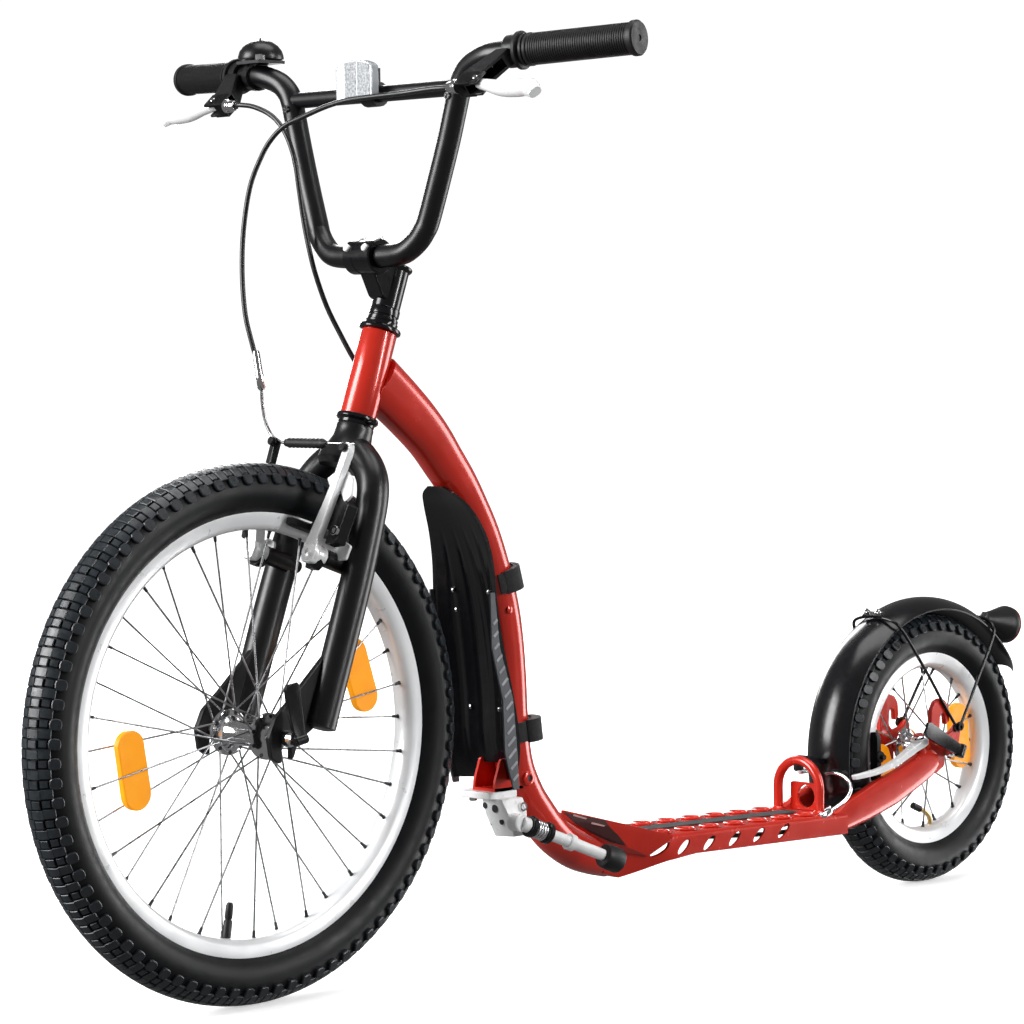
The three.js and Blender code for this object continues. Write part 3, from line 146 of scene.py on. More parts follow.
def quads(rows, count, closed=True, again=False):
    """Faces between neighbouring rows of points; each row, and the set of them, may be closed."""
    faces = []
    for i in range(rows if again else rows - 1):
        low, high = i * count, (i + 1) % rows * count
        for k in range(count if closed else count - 1):
            m = (k + 1) % count
            faces.append((low + k, low + m, high + m, high + k))
    return faces


def prism_faces(n):
    return [tuple(range(n))[::-1], tuple(range(n, 2 * n)), *quads(2, n)]


def squared(value, power):
    """A sine or cosine with its size raised to a power, which squares a circle off."""
    return math.copysign(abs(value) ** power, value)


def oval(centre, first, second, sides):
    """Points round a centre; each way has its direction, its half width and its squareness."""
    (u, a, p), (v, b, q) = first, second
    return [
        centre + u * (a * squared(math.cos(TAU * k / sides), p))
        + v * (b * squared(math.sin(TAU * k / sides), q))
        for k in range(sides)
    ]


def stepped(values, per):
    """The values with that many steps from each to the next."""
    pairs = zip(values, values[1:])
    return [a + (b - a) * k / per for a, b in pairs for k in range(per)] + [values[-1]]


def spline(points, per=8):
    """A smooth path through the points, with that many steps from each to the next."""
    points = [Vector(p) for p in points]
    ends = [2 * points[0] - points[1], *points, 2 * points[-1] - points[-2]]
    path = []
    for i in range(1, len(ends) - 2):
        a, b, c, d = ends[i - 1 : i + 3]
        for j in range(per):
            t = j / per
            path.append(
                0.5 * ((2 * b) + (c - a) * t + (2 * a - 5 * b + 4 * c - d) * t * t
                       + (3 * b - a - 3 * c + d) * t * t * t)
            )
    return [*path, points[-1]]


def ways(points):
    last = len(points) - 1
    return [
        (points[min(i + 1, last)] - points[max(i - 1, 0)]).normalized()
        for i in range(last + 1)
    ]


def tube(points, radius, sides=20, across=None, loop=False):
    """A tube along a path. A radius is a number or (across, other), or a list of these."""
    points = [Vector(p) for p in points]
    radii = radius if isinstance(radius, list) else [radius] * len(points)
    tangents = ways(points)
    if loop:
        tangents[0] = tangents[-1] = (points[1] - points[-2]).normalized()
    side = Vector(across) if across else tangents[0].orthogonal()
    verts = []
    for point, way, size in zip(points, tangents, radii):
        side = (side - way * side.dot(way)).normalized()
        other = way.cross(side)
        a, b = size if isinstance(size, tuple) else (size, size)
        for k in range(sides):
            turned = TAU * k / sides
            verts.append(point + side * (a * math.cos(turned)) + other * (b * math.sin(turned)))
    faces = quads(len(points), sides)
    if not loop:
        faces.append(tuple(range(sides))[::-1])
        faces.append(tuple(range(len(verts) - sides, len(verts))))
    return verts, faces


def lathe(profile, start, end, sides=40):
    """A turned shape; a profile point is (radius, distance from start towards end)."""
    start, end = Vector(start), Vector(end)
    way = (end - start).normalized()
    side = way.orthogonal().normalized()
    if abs(way.x) > 0.99:
        side = Z
    other = way.cross(side)
    verts, rows = [], []
    closed = profile[0] == profile[-1]
    for radius, distance in profile[: -1 if closed else None]:
        centre = start + way * distance
        if radius < 1e-6:
            rows.append([len(verts)] * sides)
            verts.append(centre)
            continue
        rows.append(range(len(verts), len(verts) + sides))
        for k in range(sides):
            turned = TAU * k / sides
            verts.append(centre + (side * math.cos(turned) + other * math.sin(turned)) * radius)
    if closed:
        rows.append(rows[0])
    faces = []
    for low, high in zip(rows, rows[1:]):
        for k in range(sides):
            m = (k + 1) % sides
            corners = list(dict.fromkeys((low[k], low[m], high[m], high[k])))
            if len(corners) > 2:
                faces.append(tuple(corners))
    return verts, faces


def rod(start, end, radius, sides=24, chamfer=0.0):
    length = (Vector(end) - Vector(start)).length
    small = radius - chamfer
    profile = [(0, 0), (small, 0), (radius, chamfer), (radius, length - chamfer), (small, length)]
    if not chamfer:
        profile = [(0, 0), (radius, 0), (radius, length)]
    return lathe([*profile, (0, length)], start, end, sides)


def plate(outline, low, high, axes=FACING_SIDE, origin=(0, 0, 0)):
    """A flat plate from an outline in the plane of two axes, between two places on the third."""
    u, v, w = axes
    base = Vector(origin)
    verts = [base + u * a + v * b + w * c for c in (low, high) for a, b in outline]
    return verts, prism_faces(len(outline))


def block(centre, x, y, z, axes=(X, Y, Z)):
    outline = [(-x / 2, -y / 2), (x / 2, -y / 2), (x / 2, y / 2), (-x / 2, y / 2)]
    return plate(outline, -z / 2, z / 2, axes, centre)


def hull(points):
    bm = bmesh.new()
    for p in points:
        bm.verts.new(Vector(p))
    bmesh.ops.convex_hull(bm, input=bm.verts)
    loose = [v for v in bm.verts if not v.link_faces]
    bmesh.ops.delete(bm, geom=loose, context="VERTS")
    bm.verts.index_update()
    shape = [v.co.copy() for v in bm.verts], [tuple(v.index for v in f.verts) for f in bm.faces]
    bm.free()
    return shape


def skin(rows, wall=None, closed=False):
    """A surface through rows of points; wall gives the matching rows of its other side."""
    count = len(rows[0])
    verts = [Vector(p) for row in rows for p in row]
    faces = quads(len(rows), count, closed)
    if wall is None:
        if closed:
            faces.append(tuple(range(count))[::-1])
            faces.append(tuple(range(len(verts) - count, len(verts))))
        return verts, faces
    shift = len(verts)
    other = skin(wall)
    verts += other[0]
    faces += [tuple(i + shift for i in face[::-1]) for face in other[1]]
    edge = [*range(count), *(i * count + count - 1 for i in range(1, len(rows)))]
    edge += [(len(rows) - 1) * count + k for k in range(count - 2, -1, -1)]
    edge += [i * count for i in range(len(rows) - 2, 0, -1)]
    for a, b in zip(edge, [*edge[1:], edge[0]]):
        faces.append((b, a, a + shift, b + shift))
    return verts, faces


def rounded(corners, radius=4.0, steps=4):
    """An outline with its corners turned into arcs."""
    made = []
    n = len(corners)
    for i in range(n):
        a, b, c = (Vector(corners[(i + k) % n]) for k in (-1, 0, 1))
        first, second = (a - b), (c - b)
        reach = min(radius, first.length * 0.45, second.length * 0.45)
        start, stop = b + first.normalized() * reach, b + second.normalized() * reach
        for k in range(steps + 1):
            t = k / steps
            p = start.lerp(b, t).lerp(b.lerp(stop, t), t)
            made.append((p.x, p.y))
    return made


def hexagon(centre, way, radius, height, recess=0.0):
    """A bolt's head standing on a point, with a hexagonal recess if it is a socket head."""
    tip = Vector(centre) + Vector(way).normalized() * height
    if not recess:
        return rod(centre, tip, radius, 6, chamfer=radius * 0.12)
    profile = [(0, 0), (radius, 0), (radius, height * 0.85), (radius * 0.88, height)]
    profile += [(recess, height), (recess * 0.94, height * 0.35), (0, height * 0.35)]
    return lathe(profile, centre, tip, 24)


# Materials: every surface is procedural, in the object's own coordinates
COAT_ROUGHNESS = 0.06
BUMP_DEPTH = 0.0004
COLOUR_A, COLOUR_B, COLOUR_OUT = 6, 7, 2  # sockets of the mix node for colours


def material(name, colour, roughness, metallic=0.0, *, vary=0.12, vary_scale=90.0, rough_vary=0.08,
             grain=0.0, grain_scale=1500.0, coat=0.0, lines=None, sheen=0.0, glow=0.0,
             specular=0.5):
    made = bpy.data.materials.new(name)
    made.use_nodes = True
    nodes, links = made.node_tree.nodes, made.node_tree.links
    shader = nodes["Principled BSDF"]
    shader.inputs["Metallic"].default_value = metallic
    shader.inputs["Specular IOR Level"].default_value = specular
    shader.inputs["Coat Weight"].default_value = coat
    shader.inputs["Coat Roughness"].default_value = COAT_ROUGHNESS
    shader.inputs["Sheen Weight"].default_value = sheen
    shader.inputs["Emission Color"].default_value = (*colour, 1)
    shader.inputs["Emission Strength"].default_value = glow
    where = nodes.new("ShaderNodeTexCoord").outputs["Object"]

    def noise(scale, detail=4.0):
        node = nodes.new("ShaderNodeTexNoise")
        node.inputs["Scale"].default_value = scale
        node.inputs["Detail"].default_value = detail
        links.new(where, node.inputs["Vector"])
        return node.outputs["Fac"]

    def ranged(value, low, high, start=0.3, stop=0.7):
        node = nodes.new("ShaderNodeMapRange")
        node.inputs["From Min"].default_value = start
        node.inputs["From Max"].default_value = stop
        node.inputs["To Min"].default_value = low
        node.inputs["To Max"].default_value = high
        links.new(value, node.inputs["Value"])
        return node.outputs["Result"]

    mix = nodes.new("ShaderNodeMix")
    mix.data_type = "RGBA"
    mix.inputs[COLOUR_A].default_value = (*(c * (1 - vary) for c in colour), 1)
    mix.inputs[COLOUR_B].default_value = (*(min(1, c * (1 + vary)) for c in colour), 1)
    links.new(ranged(noise(vary_scale), 0, 1), mix.inputs[0])
    links.new(mix.outputs[COLOUR_OUT], shader.inputs["Base Color"])
    rough = ranged(noise(vary_scale * 1.7), max(0.02, roughness - rough_vary),
                   roughness + rough_vary)
    links.new(rough, shader.inputs["Roughness"])
    if grain or lines:
        bump = nodes.new("ShaderNodeBump")
        bump.inputs["Distance"].default_value = BUMP_DEPTH
        bump.inputs["Strength"].default_value = grain or lines[2]
        if lines:
            wave = nodes.new("ShaderNodeTexWave")
            wave.bands_direction = lines[0]
            wave.inputs["Scale"].default_value = lines[1]
            links.new(where, wave.inputs["Vector"])
            links.new(wave.outputs["Fac"], bump.inputs["Height"])
        else:
            links.new(noise(grain_scale, 2.0), bump.inputs["Height"])
        links.new(bump.outputs["Normal"], shader.inputs["Normal"])
    return made


BLACK = (0.003, 0.003, 0.004)
RED = material("red_paint", (0.60, 0.022, 0.009), 0.24, 0.15, vary=0.07, vary_scale=30, coat=0.35,
               rough_vary=0.04, grain=0.02, grain_scale=400)
GLOSS = material("black_gloss_paint", BLACK, 0.18, vary=0.2, rough_vary=0.03, specular=0.42)
SATIN = material("black_satin_paint", BLACK, 0.33, vary=0.2, rough_vary=0.03, specular=0.42)
PLASTIC = material("black_moulded_plastic", (0.007, 0.007, 0.008), 0.4, vary=0.15, grain=0.1,
                   grain_scale=1800, specular=0.35)
SHINY_PLASTIC = material("black_smooth_plastic", (0.004, 0.004, 0.005), 0.22, vary=0.15,
                         rough_vary=0.03, specular=0.42)
RUBBER = material("black_rubber", (0.008, 0.008, 0.009), 0.5, vary=0.2, grain=0.2, specular=0.35)
# The tread is a lighter, bluer rubber than the near-black sidewall, though both are one rubber:
# painted highlight on the tread, painted shade on the sidewall
LIT_TREAD = material("tyre_tread_rubber_painted_highlight", (0.014, 0.018, 0.022), 0.34, vary=0.35, vary_scale=160,
                 grain=0.3, grain_scale=1400)
SHADED_SIDEWALL = material("tyre_sidewall_rubber_painted_shade", (0.0035, 0.004, 0.005), 0.45, vary=0.25,
                    vary_scale=60, grain=0.1, grain_scale=2500, specular=0.25)
WEBBING = material("strap_webbing", (0.013, 0.013, 0.014), 0.85, vary=0.3, vary_scale=300,
                   lines=("Z", 700, 0.5), sheen=0.2)
LOUVRE = material("grey_ribbed_plastic", (0.075, 0.08, 0.09), 0.5, vary=0.2, grain=0.2)
RIB = material("pale_rib_plastic", (0.3, 0.31, 0.33), 0.45, vary=0.2)
SILVER = material("polished_aluminium", (0.96, 0.97, 0.98), 0.24, 0.15, vary=0.05,
                  rough_vary=0.05)
CAST = material("cast_aluminium", (0.96, 0.965, 0.97), 0.33, 0.1, vary=0.08, grain=0.25,
                grain_scale=900)
RIM = material("rim_aluminium", (0.92, 0.93, 0.94), 0.34, 0.25, vary=0.03, vary_scale=25,
               grain=0.04, grain_scale=900)
CHROME = material("bright_steel", (0.66, 0.66, 0.67), 0.12, 1.0, vary=0.08, rough_vary=0.04)
SPOKE = material("spoke_steel", (0.34, 0.34, 0.35), 0.3, 1.0, vary=0.15)
BRASS = material("brass", (0.62, 0.43, 0.17), 0.32, 1.0, vary=0.15)
# Dark steel for the nipples, spoke heads and hoop nut, and also painted shade in the tube boss's
# hole and the kickstand block's recesses
DARK_STEEL_AND_SHADE = material("dark_steel_and_painted_shade", (0.05, 0.05, 0.055), 0.4, 0.8, vary=0.3)
# The amber reflectors glow a little, though they are no lamp: painted light that brightens them
AMBER = material("amber_reflector_painted_glow", (1.0, 0.34, 0.0), 0.35, vary=0.1, vary_scale=45,
                 lines=("DIAGONAL", 260, 0.2), glow=0.35)
CLEAR = material("clear_reflector", (0.45, 0.47, 0.49), 0.2, 0.3, vary=0.08,
                 lines=("X", 190, 0.3))
PRISM = material("clear_prisms", (0.25, 0.26, 0.27), 0.35, 0.3, vary=0.5, vary_scale=420,
                 grain=0.4, grain_scale=800)
RED_LENS = material("red_lens", (0.16, 0.008, 0.006), 0.14, vary=0.2, coat=0.8,
                    lines=("Z", 260, 0.3))
STRIP = material("grip_tape", (0.035, 0.036, 0.038), 0.95, vary=0.5, vary_scale=900, grain=1.0,
                 grain_scale=1600)
CASING = material("cable_casing", (0.008, 0.008, 0.009), 0.35, vary=0.1, grain=0.1)
# Painted shade: a near-black red laid over the wings where the hollow beside the tube is in shadow
PAINTED_SHADE_RED = material("painted_shade_dark_red", (0.05, 0.004, 0.003), 0.5, vary=0.3)
# Painted light: a pale pink for the light that shows through the wings' slots
PAINTED_SLOT_LIGHT = material("painted_slot_light_pink", (0.62, 0.36, 0.34), 0.3, vary=0.1)
SLOTS = {
    "red_paint": (RED, PAINTED_SHADE_RED, PAINTED_SLOT_LIGHT),
    "black_paint": (GLOSS, SATIN),
    "black_plastic": (PLASTIC, SHINY_PLASTIC, LOUVRE, RIB, CASING),
    "black_rubber": (RUBBER, WEBBING),
    "tyre_rubber": (LIT_TREAD, SHADED_SIDEWALL),
    "aluminium": (SILVER, CAST, RIM),
    "steel": (CHROME, SPOKE, BRASS, DARK_STEEL_AND_SHADE),
    "clear_lens": (AMBER, CLEAR, PRISM),
    "red_lens": (RED_LENS,),
    "grip_tape": (STRIP,),
}  # the slot that a look has unless its piece says otherwise
SLOT_OF = {look.name: slot for slot, looks in SLOTS.items() for look in looks}


def solid(name, shape):
    """An object in the scene with a shape as its mesh."""
    mesh = bpy.data.meshes.new(name)
    mesh.from_pydata([place(p) for p in shape[0]], [], shape[1])
    bm = bmesh.new()
    bm.from_mesh(mesh)
    bmesh.ops.recalc_face_normals(bm, faces=bm.faces)
    bm.to_mesh(mesh)
    bm.free()
    obj = bpy.data.objects.new(name, mesh)
    scene.collection.objects.link(obj)
    return obj


def piece(name, shape, look, body, *nodes, slot=None, bevel=0.0, segments=2, angle=38):
    """One named piece of the visual model, which rides on a body and may stand for CAD nodes."""
    slot = slot or SLOT_OF[look.name]
    obj = solid(name, shape)
    mesh = obj.data
    mesh.materials.append(look)
    mesh.shade_smooth()
    if bevel:
        edge = obj.modifiers.new("edge", "BEVEL")
        edge.width = bevel * MM
        edge.segments = segments
        edge.limit_method = "ANGLE"
        edge.angle_limit = math.radians(angle)
        edge.harden_normals = True
    else:
        mesh.set_sharp_from_angle(angle=math.radians(angle))
    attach(obj, body)
    if nodes:
        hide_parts(*nodes)
    return obj


def dress(node, shape, look, body, **finish):
    """The piece that stands for one CAD node."""
    return piece(f"{node}_dress", shape, look, body, node, **finish)


def carve(obj, *shapes, operation="DIFFERENCE"):
    """Cuts shapes out of a piece, or keeps what lies in them, with the result as its mesh."""
    tools = [solid("cutter", shape) for shape in shapes]
    for tool in tools:
        step = obj.modifiers.new("cut", "BOOLEAN")
        step.operation = operation
        step.solver = "EXACT"
        step.object = tool
    bpy.context.view_layer.update()
    graph = bpy.context.evaluated_depsgraph_get()
    mesh = bpy.data.meshes.new_from_object(obj.evaluated_get(graph))
    for step in [m for m in obj.modifiers if m.type == "BOOLEAN"]:
        obj.modifiers.remove(step)
    obj.data = mesh
    for tool in tools:
        bpy.data.objects.remove(tool)


def reshaded(obj, angle=30):
    obj.data.shade_smooth()
    obj.data.set_sharp_from_angle(angle=math.radians(angle))


# Brake cables: the same points as the CAD routes
FRONT_CABLE = [
    (153.2, 125.9, 855.2), (146, 125.9, 855.2), (128, 124.5, 855), (95, 121, 853),
    (60, 119, 852), (25, 117, 850.5), (-5, 115, 846), (-38, 113, 837.5), (-63, 111, 830),
    (-79, 107, 817), (-86, 100, 800), (-91, 90, 772), (-91, 81, 731), (-87, 75, 690),
    (-80, 72, 650), (-72, 73, 622), (-67, 76, 600), (-65, 78, 580), (-64.5, 80, 558),
    (-63.5, 81.5, 542), (-60, 82.4, 530), (-54, 82.6, 526), (-36, 82.6, 525.8),
]
REAR_CABLE = [
    (-153.2, 125.9, 855.2), (-146, 126, 855.2), (-131, 131, 852.5), (-112, 137, 843),
    (-95, 139, 826), (-84, 141, 800), (-80, 143, 770), (-76, 145, 738), (-70, 146, 712),
    (-65, 149, 688), (-57, 156, 656), (-45, 163, 628), (-33, 170, 603), (-27, 184, 582),
    (-26, 205, 563), (-26, 228, 540), (-26, 250, 513), (-26, 270, 482), (-26, 287, 450),
    (-26, 302, 415), (-26, 316, 375), (-26, 328, 335), (-26, 335, 295), (-26, 337, 258),
    (-26, 341, 225), (-26, 348, 193), (-26, 360, 168), (-26, 378, 143), (-27, 405, 118),
    (-29, 437, 97), (-33, 470, 90), (-36, 500, 88), (-34, 535, 89), (-22, 575, 90),
    (0, 615, 90), (22, 650, 90), (36, 690, 89), (41, 725, 90), (43, 748, 95),
    (44.5, 766, 101.5), (47, 787, 110), (53, 804, 119), (57.5, 814, 129), (57, 820, 135),
    (52, 822.4, 137.3), (40, 822.5, 137), (22, 822.5, 137),
]
CABLE = 5.0  # diameter of a cable's casing
FRONT_CASING_END, REAR_CASING_END = 17, 39  # the points where the casings stop


def cable(end, route, last):
    """The casing of a brake cable, up to one of its points."""
    path = spline(route, 4)[: last * 4 + 1]
    obj = piece(f"{end}_cable_casing", tube(path, CABLE / 2, 12), CASING, "steering",
                f"{end}_brake_cable")
    return obj


cable("front", FRONT_CABLE, FRONT_CASING_END)
rear_casing = cable("rear", REAR_CABLE, REAR_CASING_END)
rear_casing.parent = None
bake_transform(rear_casing)


def ribbed_boot(start, end, radius, ribs=9):
    length = (Vector(end) - Vector(start)).length
    profile = [(0, 0), (radius * 0.75, 0)]
    for i in range(ribs * 2 + 1):
        at_rib = 0.04 + 0.9 * i / (ribs * 2)
        profile.append((radius * (1.0 if i % 2 else 0.8), length * at_rib))
    return lathe([*profile, (radius * 0.5, length), (0, length)], start, end, 20)


# Front cable's end: adjuster barrel, curved metal lead, boot and bare wire
barrel_top, barrel_foot = FRONT_CABLE[FRONT_CASING_END - 1 : FRONT_CASING_END + 1]
piece("front_cable_barrel", lathe([(0, -14), (3, -14), (3.6, -12), (3.6, 8), (4, 9), (4, 22),
                                   (2.6, 24), (0, 24)], barrel_top, barrel_foot, 24), CHROME,
      "steering")
front_lead = spline([barrel_foot, (-65.4, 79.4, 562), (-63, 81, 545), (-56, 82.2, 533),
                     (-46, 82.6, 527.4), (-36, 82.6, 525.8)], 6)
piece("front_cable_lead", tube(front_lead, 1.7, 16), SPOKE, "steering")
lead_end = Vector(FRONT_CABLE[-1])
piece("front_cable_boot", ribbed_boot(lead_end + X * 1.5, lead_end + X * 60, 5), RUBBER, "steering")
piece("front_cable_wire", rod(lead_end, lead_end + X * 100, 0.9, 8), CHROME, "steering")

# Rear cable's end
piece("rear_cable_ferrule", lathe([(0, -6), (3.6, -6), (4, -5), (4, 8), (3.2, 10), (0, 10)],
                                  *REAR_CABLE[REAR_CASING_END : REAR_CASING_END + 2], 20), CHROME,
      "frame")
rear_lead = spline([REAR_CABLE[REAR_CASING_END], (47, 783, 108.5), (49, 797, 116), (47, 807, 125),
                    (40, 812, 133), (30, 812, 139), (18, 811, 141), (8, 812, 139)], 6)
piece("rear_cable_lead", tube(rear_lead, 2.2, 16), CHROME, "frame")
rear_end = Vector(REAR_CABLE[-1])
piece("rear_cable_boot", ribbed_boot(rear_end + X * 4, rear_end - X * 42, 4.4, 6), RUBBER, "frame")
piece("rear_cable_wire", rod(rear_end, rear_end - X * 69, 0.9, 8), CHROME, "frame")


# Wheels: radii over the tyre and at the rim, spokes with their lean at the flange, the flange's
# radius and place, half the hub's length, blocks of tread round the tyre, the hub's radius
FRONT = dict(name="front", y=0, r=255.3, rim=209, spokes=36, lean=0.55, flange=22, at=28,
             half=50, tread=86, hub_r=12)
REAR = dict(name="rear", y=982.3, r=152.2, rim=107.6, spokes=20, lean=0.5, flange=20, at=21,
            half=34, tread=52, hub_r=12)
BLOCK_HEIGHT = 3.2
CARCASS = 23.4  # half width of a tyre under its blocks
TYRE_RINGS = 168  # cross-sections round a carcass
BLOCK_CHAMFER = 0.7


def tyre_shapes(wheel):
    """The carcass with its bead, and the tread blocks standing on it."""
    outer, bead = wheel["r"], wheel["rim"] - 0.8
    crown = outer - BLOCK_HEIGHT
    deep = (crown - bead) / (1 + math.cos(math.radians(30)))
    centre_r = crown - deep

    def on(phi, theta, lift=0.0):
        x = (CARCASS + lift) * math.sin(phi)
        r = centre_r + (deep + lift) * math.cos(phi)
        return Vector((x, wheel["y"] - r * math.cos(theta), outer + r * math.sin(theta)))

    columns = []
    for i in range(41):
        share = -1 + 2 * i / 40
        phi = share * math.radians(150)
        edge = abs(math.degrees(phi))
        lift = 0.5 if 100 < edge < 104 or 116 < edge < 119 or edge > 143 else 0.0
        columns.append((phi, lift))
    verts = [on(phi, TAU * k / TYRE_RINGS, lift)
             for k in range(TYRE_RINGS) for phi, lift in columns]
    carcass = verts, quads(TYRE_RINGS, len(columns), again=True)

    pitch = TAU / wheel["tread"]
    arc = wheel["r"] * pitch
    blocks = []

    def slab(phi_from, phi_to, start, stop, height=BLOCK_HEIGHT, steps=3):
        """A block between two angles across and two shares of the pitch along."""
        along_in = BLOCK_CHAMFER / arc
        across_in = math.radians(1.6)
        verts = []
        for lift, share in ((-1.0, 0), (height - BLOCK_CHAMFER, 0.25), (height, 1)):
            lo, hi = start + along_in * share, stop - along_in * share
            p0, p1 = phi_from + across_in * share, phi_to - across_in * share
            verts += [on(p0 + (p1 - p0) * i / steps, lo * pitch, lift) for i in range(steps + 1)]
            verts += [on(p1 - (p1 - p0) * i / steps, hi * pitch, lift) for i in range(steps + 1)]
        n = 2 * (steps + 1)
        top = 2 * n
        lid = [(top + i, top + i + 1, top + n - 2 - i, top + n - 1 - i) for i in range(steps)]
        return verts, quads(3, n) + lid

    def knob(phi, middle, radius=5.9, height=BLOCK_HEIGHT + 0.3, sides=12):
        """A rounded side lug."""
        verts = []
        for lift, share in ((-1.5, 1.0), (height - 0.8, 0.98), (height, 0.84)):
            for k in range(sides):
                a = TAU * k / sides
                c, t = squared(math.cos(a), 0.7), squared(math.sin(a), 0.7)
                verts.append(on(phi + radius * share * 0.92 * c / CARCASS,
                                (middle + radius * share * t / arc) * pitch, lift))
        return verts, [*quads(3, sides), tuple(range(2 * sides, 3 * sides))]

    rad = math.radians
    for i in range(wheel["tread"]):
        for side in (1, -1):
            shift = i + (0.5 if side < 0 else 0.0)
            made = [
                slab(rad(-2), rad(27.5), shift + 0.03, shift + 0.51),
                slab(rad(26), rad(54), shift + 0.05, shift + 0.55, BLOCK_HEIGHT - 0.5),
                slab(rad(2.5), rad(23.5), shift + 0.56, shift + 0.98),
                slab(rad(27), rad(46), shift + 0.61, shift + 0.99, BLOCK_HEIGHT - 0.7),
                knob(rad(61), shift + 0.79),
            ]
            blocks += [mirrored(b) if side < 0 else b for b in made]
    return carcass, joined(*blocks)


def centre_of(wheel):
    return Vector((0, wheel["y"], wheel["r"]))


def rim_shape(wheel):
    r = wheel["rim"]
    profile = [
        (r, 13.5), (r + 0.6, 12.9), (r, 11.9), (r - 5, 11.6), (r - 6, 5), (r - 6, -5),
        (r - 5, -11.6), (r, -11.9), (r + 0.6, -12.9), (r, -13.5), (r - 11, -13.2),
        (r - 14.5, -10.5), (r - 16.6, -6), (r - 17, 0), (r - 16.6, 6), (r - 14.5, 10.5),
        (r - 11, 13.2), (r, 13.5),
    ]
    return lathe(profile, centre_of(wheel), centre_of(wheel) + X, 144)


def spoke_ends(wheel):
    """Each spoke's hook on its flange and its end at the rim, as in the CAD hub."""
    root = wheel["flange"] - 3
    tip = wheel["rim"] - 17
    for i in range(wheel["spokes"]):
        side = -1 if i % 2 == 0 else 1
        lean = (1 if i % 4 < 2 else -1) * wheel["lean"]
        turned = TAU * i / wheel["spokes"]
        hook_turn = turned + lean
        hook = Vector((side * (wheel["at"] + (1.4 if i % 4 < 2 else -1.4)),
                       wheel["y"] + root * math.cos(hook_turn),
                       wheel["r"] + root * math.sin(hook_turn)))
        end = Vector((side * 3, wheel["y"] + tip * math.cos(turned),
                      wheel["r"] + tip * math.sin(turned)))
        yield hook, end, side


def hub_shape(wheel):
    at, flange, body, half = wheel["at"], wheel["flange"], wheel["hub_r"], wheel["half"] - 0.4
    side = [
        (5.4, half), (8.2, half), (8.8, half - 1), (8.8, at + 7), (11, at + 5), (14.5, at + 3),
        (flange - 1, at + 1.9), (flange, at + 1.2), (flange, at - 1.2), (flange - 1, at - 1.9),
        (15.5, at - 2.4), (body + 1, at - 6), (body, at - 9), (body - 0.5, 0),
    ]
    profile = side + [(r, -x) for r, x in reversed(side[:-1])]
    profile.append(profile[0])
    return lathe(profile, centre_of(wheel), centre_of(wheel) + X, 64)


def spoke_heads(wheel):
    """Dark spoke heads through the flanges."""
    return joined(*(
        rod(hook - X * (side * 1.2), hook + X * (side * 1.2), 2.3, 12, 0.5)
        for hook, _, side in spoke_ends(wheel)))


def reflector(wheel, dy, dz, name):
    """An amber spoke reflector, an oval across the spokes, glowing faintly with painted light."""
    centre = Vector((0, wheel["y"] + dy, wheel["r"] + dz))
    out = Vector((0, dy, dz)).normalized()
    long = Vector((0, -out.z, out.y))
    half, end = 22, 15.5
    outline = []
    for k in range(28):
        c, s = math.cos(TAU * k / 28), math.sin(TAU * k / 28)
        outline.append((end * c, end * s + (half if s >= 0 else -half)))
    axes = (out, long, X)
    share = 1 - math.hypot(dy, dz) / wheel["rim"]
    thick = 6 + 6 * share
    piece(name, plate(outline, -thick / 2, thick / 2, axes, centre), AMBER,
          wheel["name"] + "_wheel", bevel=1.6, segments=3)


def dress_wheel(wheel):
    name, body = wheel["name"], wheel["name"] + "_wheel"
    carcass, blocks = tyre_shapes(wheel)
    piece(f"{name}_tyre_casing", carcass, SHADED_SIDEWALL, body, f"{name}_tyre")
    piece(f"{name}_tyre_tread", blocks, LIT_TREAD, body, angle=25)
    dress(f"{name}_rim", rim_shape(wheel), RIM, body)
    dress(f"{name}_hub", hub_shape(wheel), CHROME, body)
    piece(f"{name}_spoke_heads", spoke_heads(wheel), DARK_STEEL_AND_SHADE, body)
    spokes, nipples = [], []
    for hook, end, _ in spoke_ends(wheel):
        way = (end - hook).normalized()
        spokes.append(rod(hook, end, 0.95, 8))
        nipples.append(lathe([(0, -7), (1.1, -7), (1.5, -6), (1.6, -1.5), (2.4, 0.8), (0, 0.8)],
                             end, end + way, 10))
    piece(f"{name}_spokes", joined(*spokes), SPOKE, body)
    piece(f"{name}_nipples", joined(*nipples), DARK_STEEL_AND_SHADE, body)


dress_wheel(FRONT)
dress_wheel(REAR)
reflector(FRONT, -137, -21, "front_wheel_reflector_a")
reflector(FRONT, 139, 45, "front_wheel_reflector_b")
reflector(REAR, 68, 7, "rear_wheel_reflector_a")
reflector(REAR, -63, -26, "rear_wheel_reflector_b")

valve_way = Vector((0, -31, -190)).normalized()
axle_centre = centre_of(FRONT)
piece("front_valve", lathe([(0, 158), (2.4, 158), (3.6, 161), (3.8, 172), (3.0, 174), (4.2, 176),
                            (4.4, 191.5), (0, 191.5)], axle_centre, axle_centre + valve_way, 20),
      RUBBER, "front_wheel")
stem_path = spline([centre_of(REAR) + Vector(p) for p in (
    (0, 16, -91), (0, 15, -82), (-1, 9, -75), (-2, 1, -71))], 6)
piece("rear_valve_stem", tube(stem_path, 2.6, 16), BRASS, "rear_wheel")
cap_way = (stem_path[-1] - stem_path[-2]).normalized()
piece("rear_valve_cap", rod(stem_path[-1] - cap_way, stem_path[-1] + cap_way * 13, 3.8, 16, 0.8),
      RUBBER, "rear_wheel")


